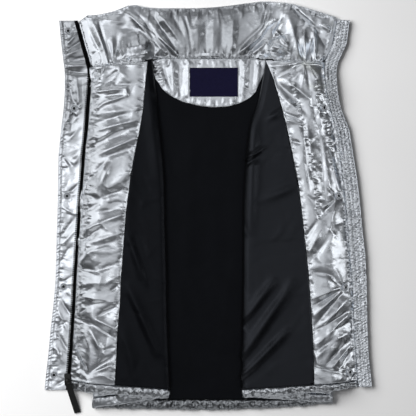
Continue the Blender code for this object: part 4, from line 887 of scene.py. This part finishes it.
def back_lining_cloth():
    form = Form("back_lining")
    ys_line = np.linspace(form.high[1] - 0.3, form.low[1] + 0.3, 240)
    xs = between_ends(np.array([form.span(y) for y in ys_line]), 120)
    ys = np.repeat(ys_line[:, None], 120, axis=1)
    base = form.heights(xs, ys)
    dice = random.Random(53)
    small = crumple(dice, (-100.0, -330.0, 100.0, 180.0), 40, 60.0, 8.0, 0.35, 90.0, 40.0)
    weight = edge_weight(xs.shape, 3.0, 9.0) * ease((95.0 - np.abs(xs)) / 25.0)
    lift = (relief(xs, ys, BACK_LINING_CREASES, 1.9) + relief(xs, ys, small, 1.8)) * weight
    zs = np.maximum(base + lift * 0.6, base - 0.4)
    return sheet_piece("back_lining_cloth", "back_lining", grid_of(xs, ys, zs), LINING, 0.6, 2.0)


def strip_grids(node, step, inset=0.0):
    """Places, upper and lower heights over a long strip, from its top end down."""
    form = Form(node)
    ys_line = np.linspace(form.high[1], form.low[1], int((form.high[1] - form.low[1]) / step) + 1)
    spans = np.array([form.span(y) for y in ys_line]) + (inset, -inset)
    cols = int((spans[:, 1] - spans[:, 0]).max() / step) + 1
    xs = between_ends(spans, cols)
    ys = np.repeat(ys_line[:, None], cols, axis=1)
    inner_ys = np.clip(ys, form.low[1] + 0.3, form.high[1] - 0.3)
    near = np.clip(xs, (spans[:, :1] + 0.4), (spans[:, 1:] - 0.4))
    return xs, ys, form.heights(near, inner_ys), form.heights(near, inner_ys, True)


def rope_edge(xs, ys, line_x, width, pitch, height, seed):
    """Twisted, puckered edge: slanting bulges along a line given by its x at each row."""
    dice = random.Random(seed)
    knots = [dice.uniform(0.6, 1.4) for _ in range(400)]
    turns = np.cumsum(knots) * pitch
    phase = np.interp(ys.max() - ys + (xs - line_x) * 0.6, turns, np.arange(400))
    size = np.interp(ys.max() - ys, turns, [dice.uniform(0.5, 1.2) for _ in range(400)])
    return height * size * (0.5 + 0.5 * np.cos(2 * math.pi * phase)) * bell(xs - line_x, width)


def flap_cloth():
    """Storm flap: a roped outer edge, creases, and stars round its snaps."""
    xs, ys, top, low = strip_grids("storm_flap", STRIP_STEP)
    top, low = blur(top, 8), blur(low, 4)
    dice = random.Random(61)
    outer = xs[:, :1] + 3.2
    small = crumple(dice, box_of(xs, ys), 70, 22.0, 3.2, 0.9, 55.0, 40.0)
    small += crumple(dice, box_of(xs, ys), 70, 11.0, 2.0, 0.4, 0.0, 70.0)
    small += stars(dice, LEFT_SNAPS, 0.9, 15.0)
    outer_line = list(zip((xs[::9, 0] + 6.0).tolist(), ys[::9, 0].tolist()))
    small += puckers(dice, outer_line, 5.5, 9.0, 1.8, 1.0, 90.0)
    weight = edge_weight(xs.shape, STRIP_STEP, 4.0)
    lift = relief(xs, ys, FLAP_CREASES, LARGE) * weight + relief(xs, ys, small, SMALL) * fade(weight, 0.4)
    lift *= calm(xs, ys, LEFT_SNAPS)
    lift += rope_edge(xs, ys, outer, 2.2, 5.0, 1.5, 62) - 0.6 * bell(xs - outer - 4.0, 1.2)
    top = np.maximum(top + lift, low + 0.9)
    return closed_piece("storm_flap_cloth", "storm_flap", xs, ys, top, low, SILVER_FLAP_PAINTED_SHADE)


def guard_cloth():
    """Zip guard: three roped tunnels between four rows of stitches."""
    xs, ys, top, low = strip_grids("zip_guard", 1.35)
    top, low = blur(top, 8), blur(low, 4)
    wide = xs[:, -1:] - xs[:, :1]
    lift = np.zeros(xs.shape)
    for index, part in enumerate(GUARD_SEAMS):
        line = xs[:, :1] + wide * part
        lift -= 0.9 * bell(xs - line, 1.2)
        if index < 3:
            lift += rope_edge(xs, ys, line + wide * 0.14, 3.2, 5.4, 2.8, 71 + index)
    small = crumple(random.Random(75), box_of(xs, ys), 420, 9.0, 1.8, 1.3, 0.0, 35.0)
    top = np.maximum(top + lift + relief(xs, ys, small, SMALL), low + 0.9)
    return closed_piece("zip_guard_cloth", "zip_guard", xs, ys, top, low, SILVER_FINE)


def tape_cloth(name, node, wide=False):
    """Zip tape. A wide one reaches over to the facing, and leaves the flap lower down."""
    xs, ys, top, low = strip_grids(node, 2.0, -0.8)
    if wide:
        part = (xs - xs[:, :1]) / (xs[:, -1:] - xs[:, :1])
        low_part = ease((240.0 - ys) / 15.0)
        xs = xs + (zip_gap(ys) - 1.6 * (1.0 - low_part)) * part + 2.2 * low_part * (1.0 - part)
    return closed_piece(name, node, xs, ys, blur(top, 2) + 0.15, low, TAPE)


def label_cloth():
    """Bare woven label with a stitched, slightly raised edge."""
    step = 1.6
    xs, ys, top, low = strip_grids("label", step)
    small = crumple(random.Random(81), box_of(xs, ys), 14, 30.0, 6.0, 0.25, 20.0, 60.0)
    edge = 1.0 - edge_weight(xs.shape, step, 3.5)
    lift = relief(xs, ys, small, 1.8) + 0.35 * edge * (0.5 + 0.5 * np.cos((xs + ys) * 1.5))
    return closed_piece("neck_label", "label", xs, ys, top + lift, low, NAVY)


def loop_cloth():
    """Hanger loop: a flat doubled strip that rises between its two sewn ends."""
    form = Form("hanger_loop")
    cols = np.linspace(form.low[0] + 0.3, form.high[0] - 0.3, 44)
    rows = np.linspace(form.high[1] - 0.2, form.low[1] + 0.2, 9)
    xs, ys = np.meshgrid(cols, rows)
    near = np.clip(ys, form.low[1] + 0.5, form.high[1] - 0.5)
    top, low = form.heights(xs, near), form.heights(xs, near, True)
    edge = np.abs(ys - rows.mean()) / (rows[0] - rows[-1]) * 2.0
    sewn = bell(xs - form.low[0] - 3.0, 1.0) + bell(xs - form.high[0] + 3.0, 1.0)
    lift = 0.35 * bell(edge - 0.75, 0.2) - 0.3 * sewn + 0.12 * np.sin(xs * 1.1)
    top = np.maximum(top + lift - 0.5 * np.clip(edge - 0.85, 0.0, 1.0) / 0.15, low + 0.5)
    return closed_piece("hanger_loop_cloth", "hanger_loop", xs, ys, top, low, SILVER)


def snap_ring(name):
    """Spring socket of a snap: a rolled rim, a groove, a raised middle ring and its hole; the hole and the groove
    get painted shade, a near-black metal.
    """
    base, axis = snap_place(name)
    side = np.cross(axis, (0.0, 1.0, 0.0))
    side /= np.linalg.norm(side)
    ahead = np.cross(axis, side)
    turns = np.linspace(0.0, 2 * math.pi, SNAP_STEPS, endpoint=False)
    points = []
    for radius, height in SNAP_OUTLINE:
        for turn in turns:
            points.append(base + axis * height + radius * (side * math.cos(turn) + ahead * math.sin(turn)))
    faces = [tuple(range(SNAP_STEPS))[::-1], tuple(range((len(SNAP_OUTLINE) - 1) * SNAP_STEPS, len(points)))]
    # Painted shade: the faces in the hole and in the groove get the near-black metal
    dark = [True, False]
    for row in range(len(SNAP_OUTLINE) - 1):
        inner = SNAP_OUTLINE[row][0]
        for k in range(SNAP_STEPS):
            a, b = row * SNAP_STEPS + k, row * SNAP_STEPS + (k + 1) % SNAP_STEPS
            faces.append((a, b, b + SNAP_STEPS, a + SNAP_STEPS))
            dark.append(inner < SNAP_HOLE or SNAP_GROOVE[0] < inner < SNAP_GROOVE[1])
    piece = new_piece(name + "_ring", points, faces, SNAP)
    piece.data.materials.append(SNAP_PAINTED_SHADE)
    for polygon, deep in zip(piece.data.polygons, dark):
        polygon.material_index = 1 if deep else 0
    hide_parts(name)


def zip_teeth(beside):
    """Coil of the zip's left half: a cord with a tooth at each pitch, which stands out to the left."""
    form = Form("zip_chain_left")
    points, faces = [], []

    def place(y):
        y = min(max(y, form.low[1] + 0.4), form.high[1] - 0.4)
        low, high = form.span(y)
        x = (low + high) / 2
        return np.array((x, y, form.z(x, y, True))), form.z(x, y)

    def heading(y):
        """Unit directions along the coil and to its left."""
        ahead = place(y - 2.0)[0] - place(y + 2.0)[0]
        ahead /= np.linalg.norm(ahead)
        return ahead, np.array((-ahead[1], ahead[0], 0.0))

    def join(low, high, count):
        for k in range(count):
            after = (k + 1) % count
            faces.append((low + k, low + after, high + after, high + k))

    def close(first, count, flip=False):
        faces.append(tuple(range(first, first + count))[::-1 if flip else 1])

    last = None
    for y in np.arange(form.high[1] - 0.6, form.low[1] + 0.6, -TOOTH_PITCH / 2):
        centre, top = place(y)
        rise = (top - centre[2]) * 0.72
        first = len(points)
        side = heading(y)[1]
        for across, up in CORD_OUTLINE:
            points.append(centre + side * across + np.array((0.0, 0.0, rise * up)))
        if last is None:
            close(first, 6)
        else:
            join(first, last, 6)
        last = first
    close(last, 6, True)
    half, back, cut = TOOTH_LENGTH / 2, TOOTH_BACK, TOOTH_CUT
    for y in np.arange(form.high[1] - 2.0, form.low[1] + 2.0, -TOOTH_PITCH):
        centre, top = place(y)
        ahead, side = heading(y)
        out = 4.1 + 0.6 * float(ease((165.0 - y) / 80.0))
        outline = [(-half + cut, back), (half - cut, back), (half, back - cut), (half, -1.2),
                   (half, cut - out), (half - cut, -out), (-half + cut, -out), (-half, cut - out),
                   (-half, -1.2), (-half, back - cut)]
        rise = top - centre[2] + 0.2
        beyond = beside.over(centre[:1] - out + 0.8, centre[1:2])[0] - centre[2]
        rings = []
        for share, short, narrow in ((0.0, 1.0, 1.0), (0.7, 1.0, 1.0), (1.0, 0.7, 0.95)):
            rings.append(len(points))
            for along, across in outline:
                along, across = along * short, across * narrow
                far = float(np.clip((-across - 1.2) / 1.4, 0.0, 1.0))
                low, high = lerp(0.15, beyond + 0.1, far), lerp(rise, beyond + 0.9, far)
                points.append(centre + ahead * along + side * across + np.array((0.0, 0.0, lerp(low, high, share))))
        join(rings[0], rings[1], len(outline))
        join(rings[1], rings[2], len(outline))
        close(rings[0], len(outline), True)
        close(rings[2], len(outline))
    piece = new_piece("zip_teeth_left", points, faces, TEETH, smooth=False)
    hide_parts("zip_chain_left")


def walk(line, pitch, length):
    """Both ends of each stitch along a line of points."""
    line = np.array(line, dtype=float)
    at = np.concatenate([[0.0], np.cumsum(np.linalg.norm(np.diff(line, axis=0), axis=1))])
    starts = np.arange(pitch / 2, at[-1] - length, pitch)
    ends = np.stack([starts, starts + length], axis=1)
    return np.stack([np.interp(ends, at, line[:, 0]), np.interp(ends, at, line[:, 1])], axis=2)


def stitches(name, rows, finish, thick=0.3):
    """Sewing: one short, raised thread at each pitch along lines on finished cloth."""
    points, faces = [], []
    for form, line in rows:
        for (x0, y0), (x1, y1) in walk(line, STITCH_PITCH, STITCH_LENGTH).tolist():
            x, y = (x0 + x1) / 2, (y0 + y1) / 2
            z0, z1 = form.z(x0, y0), form.z(x1, y1)
            z = max((z0 + z1) / 2, form.z(x, y)) + 0.25
            side = np.array((y0 - y1, x1 - x0, 0.0)) / math.hypot(x1 - x0, y1 - y0) * thick
            first = len(points)
            points += [(x0, y0, z0), (x1, y1, z1), (x + side[0], y + side[1], z), (x - side[0], y - side[1], z),
                       (x, y, z + thick), (x, y, z - thick - 0.25)]
            for a, b, c in ((0, 2, 4), (2, 1, 4), (1, 3, 4), (3, 0, 4), (2, 0, 5), (1, 2, 5), (3, 1, 5), (0, 3, 5)):
                faces.append((first + a, first + b, first + c))
    return new_piece(name, points, faces, finish)


def side_line(form, part=None, inset=0.0):
    """Line down a long piece: at a share of its width, or in from its left (+) or right (-) edge."""
    made = []
    for y in np.arange(form.high[1] - 2.0, form.low[1] + 2.0, -6.0):
        left, right = form.span(y)
        edge = left if inset > 0 else right
        made.append((lerp(left, right, part) if part is not None else edge + inset, y))
    return made


def cross_line(form, inset):
    """Line across a wide piece, a distance in from its low (+) or high (-) edge."""
    made = []
    for x in np.arange(form.low[0] + 3.0, form.high[0] - 3.0, 5.0):
        low, high = form.span(x, 0)
        made.append((x, (low if inset > 0 else high) + inset))
    return made


# ---------------------------------------------------------------- padded shells
def remeshed(name, node, voxel, finish, rounds=4):
    """Even, rounded copy of a padded CAD solid."""
    mesh = NODES[node].data.copy()
    mesh.materials.clear()
    piece = bpy.data.objects.new(name, mesh)
    bpy.context.scene.collection.objects.link(piece)
    piece.modifiers.new("even", "REMESH").voxel_size = voxel * MM
    soft = piece.modifiers.new("soft", "SMOOTH")
    soft.factor, soft.iterations = 0.5, rounds
    graph = bpy.context.evaluated_depsgraph_get()
    made = bpy.data.meshes.new_from_object(piece.evaluated_get(graph))
    piece.modifiers.clear()
    piece.data = made
    made.name = name
    made.materials.clear()
    made.materials.append(finish)
    made.polygons.foreach_set("use_smooth", [True] * len(made.polygons))
    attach(piece, "vest")
    return piece


def puffed(piece, held):
    """Cloth simulation: a padded piece swells between its held points."""
    scene = bpy.context.scene
    start = points_of(piece.data)
    normals = np.empty(len(start) * 3)
    piece.data.vertex_normals.foreach_get("vector", normals)
    fixed = np.nonzero(held(start / MM, normals.reshape(-1, 3)))[0].tolist()
    piece.vertex_groups.new(name="held").add(fixed, 1.0, "REPLACE")
    cloth = piece.modifiers.new("puff", "CLOTH")
    settings = cloth.settings
    settings.use_pressure = True
    settings.uniform_pressure_force = PUFF_PRESSURE
    settings.vertex_group_mass = "held"
    settings.effector_weights.gravity = 0.0
    settings.shrink_min = PUFF_SHRINK
    settings.bending_stiffness = PUFF_BENDING
    settings.quality = PUFF_QUALITY
    cloth.collision_settings.use_collision = False
    cloth.point_cache.frame_start, cloth.point_cache.frame_end = 1, PUFF_FRAMES
    for at in range(1, PUFF_FRAMES + 1):
        scene.frame_set(at)
    graph = bpy.context.evaluated_depsgraph_get()
    move = points_of(piece.evaluated_get(graph).data) - start
    long = np.maximum(np.linalg.norm(move, axis=1, keepdims=True), 1e-9)
    move *= np.minimum(1.0, PUFF_CAP * MM / long)
    piece.modifiers.clear()
    piece.vertex_groups.clear()
    scene.frame_set(1)
    piece.data.vertices.foreach_set("co", (start + move).ravel())
    piece.data.update()


def on_seam(points):
    """True on the quilting seams and where a piece rests on the floor."""
    near = points[:, 2] < RESTS_BELOW
    for index in range(GROOVE_COUNT):
        near |= np.abs(points[:, 1] - FIRST_GROOVE_Y + GROOVE_PITCH * index) < SEAM_HALF
    return near


def moved(piece, shape):
    """Moves a piece's points along their normals by shape(points, normals), in mm."""
    mesh = piece.data
    points = points_of(mesh) / MM
    normals = np.empty(points.size)
    mesh.vertices.foreach_get("normal", normals)
    normals = normals.reshape(-1, 3)
    points = points + normals * shape(points, normals)[:, None]
    points[:, 2] = np.maximum(points[:, 2], 0.02)
    mesh.vertices.foreach_set("co", (points * MM).ravel())
    mesh.update()


def quilted(points, seed):
    """Quilting seams across a padded wall, drawn in, with puckers beside them."""
    xs, ys = points[:, 0], points[:, 1]
    lift = np.zeros(len(points))
    dice = random.Random(seed)
    small = []
    for index in range(GROOVE_COUNT):
        y = FIRST_GROOVE_Y - GROOVE_PITCH * index
        lift -= SEAM_DEPTH * np.exp(-(np.abs(ys - y) / 5.0) ** 1.3)
        small += puckers(dice, [(xs.min(), y), (xs.max(), y)], 9.0, 14.0, 2.8, 1.1, 90.0, 14.0, True)
    small += crumple(dice, box_of(xs, ys), 160, 24.0, 3.4, 0.8, 90.0, 35.0)
    lift += relief(xs, ys, small, 1.4)
    return np.clip(lift, PAD_LOWEST, PAD_HIGHEST)


def shell(name, node, voxel, seed, covered):
    """A padded silver shell. Where another cloth covers it, it keeps a little below."""
    piece = remeshed(name, node, voxel, SILVER_SHELL)
    puffed(piece, lambda points, normals: on_seam(points) | covered(points, normals))

    def shape(points, normals):
        lift = quilted(points, seed)
        return np.where(covered(points, normals), np.minimum(lift, -0.2), lift)

    moved(piece, shape)
    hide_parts(node)


# Hem bands take a darker copy of the silver by default: painted shade
def hem_band(name, node, voxel, seed, finish=SILVER_HEM_PAINTED_SHADE):
    """A gathered hem band, puckered across its length."""
    piece = remeshed(name, node, voxel, finish, 2)

    def shape(points, normals):
        dice = random.Random(seed)
        xs, ys = points[:, 0], points[:, 1]
        middle = (ys.min() + ys.max()) / 2
        small = puckers(dice, [(xs.min(), middle), (xs.max(), middle)], 4.6, 14.0, 2.0, 1.9, 90.0, 20.0, True)
        small += crumple(dice, box_of(xs, ys), int((xs.max() - xs.min()) * 1.2), 10.0, 1.9, 1.3, 90.0, 40.0)
        lift = np.clip(relief(xs, ys, small, 1.3), -BAND_LIMIT, BAND_LIMIT)
        return lift * np.clip(np.abs(normals[:, 2]) + 0.25, 0.0, 1.0)

    moved(piece, shape)
    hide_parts(node)
    return piece


# ---------------------------------------------------------------- pieces
LEFT_CORNER = Corner(248.5, -303.5, 254.5, -308.5)
RIGHT_CORNER = Corner(257.0, -302.5, 256.5, -307.5)
LEFT_LINING_CORNER = Corner(254.0, -308.5, 259.0, -315.5)
RIGHT_LINING_CORNER = Corner(257.0, -309.0, 260.0, -315.5)

left_lining = wrapped_lining("left_lining_cloth", "front_left_lining", -1, LEFT_LINING_CORNER,
                             LEFT_LINING_CREASES, 41)
right_lining = wrapped_lining("right_lining_cloth", "front_right_lining", 1, RIGHT_LINING_CORNER,
                              RIGHT_LINING_CREASES, 43)
left_facing, left_form = facing("left_facing_cloth", "front_left_facing", LEFT_CORNER, -1,
                                LEFT_FACING_CREASES, 11, left_extra, Form(left_lining))
right_facing, right_form = facing("right_facing_cloth", "front_right_facing", RIGHT_CORNER, 1,
                                  RIGHT_FACING_CREASES, 21, right_extra, Form(right_lining))
neck = neck_cloth()
left_on, right_on, neck_on = Form(left_facing), Form(right_facing), Form(neck)
collar = collar_lining([left_on, right_on, neck_on])
loop = loop_cloth()
back_cloth = back_lining_cloth()
flap = flap_cloth()
guard = guard_cloth()
tape_left = tape_cloth("zip_tape_left_cloth", "zip_tape_left", True)
tape_right = tape_cloth("zip_tape_right_cloth", "zip_tape_right")
label = label_cloth()


def under_front(points, normals):
    return (points[:, 2] > 13.0) & (normals[:, 2] > -0.3)


shell("back_shell_pad", "back_shell", 3.6, 91, lambda p, n: (n[:, 2] > 0.3) & (p[:, 1] < 260.0))
shell("left_shell_pad", "front_left_shell", 3.0, 92, under_front)
shell("right_shell_pad", "front_right_shell", 3.0, 93, under_front)
shell("collar_pad", "collar_shell", 2.8, 94, lambda p, n: n[:, 2] > 0.2)
hems = (
    hem_band("hem_left_band", "hem_band_left", 2.0, 95),
    hem_band("hem_right_band", "hem_band_right", 2.0, 96),
    # The back hem band takes the darkest copy: painted shade
    hem_band("hem_back_band", "hem_band_back", 1.9, 97, SILVER_LOW_HEM_PAINTED_SHADE),
)

collar_on, flap_on, guard_on, label_on = Form(collar), Form(flap), Form(guard), Form(label)
for name in LEFT_SNAPS + RIGHT_SNAPS:
    snap_ring(name)
zip_teeth(flap_on)

left_zip = line_of(left_form, LEFT_CORNER, 0.0, -1, 6.0)
left_inner = line_of(left_form, LEFT_CORNER, 1.0, -1, 6.0)
right_guard = line_of(right_form, RIGHT_CORNER, 0.0, 1, 6.0)
right_inner = line_of(right_form, RIGHT_CORNER, 1.0, 1, 6.0)
facing_rows = [(left_on, shift_line(left_zip, 3.0)), (left_on, shift_line(left_zip, 12.5)),
               (left_on, shift_line(left_inner, -2.6)), (right_on, shift_line(right_guard, -4.0)),
               (right_on, shift_line(right_inner, 2.6))]
facing_rows += [(right_on, rope) for rope in ropes(right_inner, right_guard)]
facing_rows += [(flap_on, side_line(flap_on, inset=inset)) for inset in (1.6, 7.0, -2.6)]
facing_rows += [(flap_on, cross_line(flap_on, inset)) for inset in (3.0, -3.0)]
facing_rows += [(guard_on, side_line(guard_on, part)) for part in GUARD_SEAMS]
stitches("facing_stitches", facing_rows, THREAD)
stitches("collar_stitches", [
    (collar_on, [(r.seam_x, r.seam_y + 2.6) for r in COLLAR]),
    (collar_on, [(lerp(r.top_x, r.seam_x, 0.045), lerp(r.top_y, r.seam_y, 0.045)) for r in COLLAR]),
    (neck_on, cross_line(neck_on, 2.4)),
], THREAD)
left, low = label_on.low[:2] + 1.6
right, high = label_on.high[:2] - 1.6
stitches("label_stitches", [(label_on, [(left, low), (right, low), (right, high), (left, high), (left, low)])],
         NAVY_THREAD, 0.25)
hems_on = [Form(hem) for hem in hems]
stitches("hem_stitches", [(form, cross_line(form, inset)) for form in hems_on for inset in (3.0, -3.0)],
         THREAD)

# ---------------------------------------------------------------- carried-over CAD parts
for name in ("zip_slider", "slider_bridge", "pull_tab"):
    NODES[name].material_slots[0].material = PLASTIC


# ---------------------------------------------------------------- stage, light and camera
FLOOR_HALF = 4.0
FLOOR_Z = -0.0004
CAMERA_HEIGHT = 2.4
CAMERA_CENTRE = (-0.0002, -0.0004)
SENSOR_WIDTH = 36.0
FOCUS_HEIGHT = 0.015
VIEW_WIDTH = 0.728

# Place, aim, size and power of each lamp: the first five light the vest alone, the last one the floor alone
Lamp = namedtuple("Lamp", "name place aim size power")
VEST_LAMPS = (
    Lamp("overhead_box", (-0.2, 0.15, 2.7), (-0.2, 0.15, 0.0), (2.3, 2.6), 7.2),
    Lamp("key_box", (-1.6, 0.45, 1.5), (0.0, 0.0, 0.0), (1.4, 2.8), 12.5),
    Lamp("side_box", (1.7, -0.1, 1.2), (0.0, 0.0, 0.0), (0.5, 1.6), 4.5),
    Lamp("front_box", (0.0, -2.0, 0.75), (0.0, 0.0, 0.0), (2.6, 0.9), 5.0),
    Lamp("back_box", (0.0, 2.0, 0.75), (0.0, 0.0, 0.0), (2.6, 0.9), 5.0),
)
FLOOR_LAMP = Lamp("floor_box", (-1.55, 0.6, 1.4), (-0.35, -0.05, 0.0), (1.7, 1.7), 74.5)

# Brightness of the world by height, from straight below to straight above
SKY = ((0.0, 0.07), (0.25, 0.035), (0.5, 0.09), (0.8, 0.26), (1.0, 0.40))


def floor_material():
    n = nodes_for("floor_look")
    colour = n.ramp(n.noise(3.0, 2.0), (0.3, (0.85, 0.85, 0.85)), (0.7, (0.88, 0.88, 0.88)))
    return n.finish(colour, n.between(n.noise(40.0), 0.75, 0.85))


def stage_floor():
    mesh = bpy.data.meshes.new("floor")
    corners = [(-1, -1), (1, -1), (1, 1), (-1, 1)]
    mesh.from_pydata([(x * FLOOR_HALF, y * FLOOR_HALF, FLOOR_Z) for x, y in corners], [], [(0, 1, 2, 3)])
    floor = bpy.data.objects.new("floor", mesh)
    bpy.context.scene.collection.objects.link(floor)
    mesh.materials.append(floor_material())
    return floor


def soft_light(lamp, things):
    """A soft box that lights these things alone."""
    data = bpy.data.lights.new(lamp.name, "AREA")
    data.shape = "RECTANGLE"
    data.size, data.size_y = lamp.size
    data.energy = lamp.power
    light = bpy.data.objects.new(lamp.name, data)
    light.location = lamp.place
    light.rotation_euler = (Vector(lamp.aim) - Vector(lamp.place)).to_track_quat("-Z", "Y").to_euler()
    light.visible_camera = False
    bpy.context.scene.collection.objects.link(light)
    group = bpy.data.collections.new(lamp.name + "_lights")
    for thing in things:
        group.objects.link(thing)
    light.light_linking.receiver_collection = group


def studio_world():
    """A pale ceiling that darkens towards the horizon and towards the hem's side."""
    world = bpy.data.worlds.new("studio")
    bpy.context.scene.world = world
    n = Nodes(world, "Background", "Generated")
    split = n.add("ShaderNodeSeparateXYZ")
    n.link(n.place, split.inputs["Vector"])
    n.link(n.ramp(split.outputs["Z"], *[(at, (value, value, value * 1.02)) for at, value in SKY]),
           n.shader.inputs["Color"])
    aim = n.add("ShaderNodeVectorMath", operation="DOT_PRODUCT")
    aim.inputs[1].default_value = (-0.45, 0.75, 0.0)
    n.link(n.place, aim.inputs[0])
    side = n.add("ShaderNodeMapRange", from_min=-0.9, from_max=0.9, to_min=0.28, to_max=1.2)
    n.link(aim.outputs["Value"], side.inputs["Value"])
    n.link(side.outputs["Result"], n.shader.inputs["Strength"])


floor = stage_floor()
studio_world()
vest = [thing for thing in bpy.data.objects if thing.type == "MESH" and thing is not floor]
for lamp in VEST_LAMPS:
    soft_light(lamp, vest)
soft_light(FLOOR_LAMP, [floor])

camera_data = bpy.data.cameras.new("camera")
camera_data.sensor_width = SENSOR_WIDTH
camera_data.lens = SENSOR_WIDTH * (CAMERA_HEIGHT - FOCUS_HEIGHT) / VIEW_WIDTH
camera = bpy.data.objects.new("camera", camera_data)
camera.location = (*CAMERA_CENTRE, CAMERA_HEIGHT)
bpy.context.scene.collection.objects.link(camera)
bpy.context.scene.camera = camera
bpy.context.scene.view_settings.view_transform = "Standard"
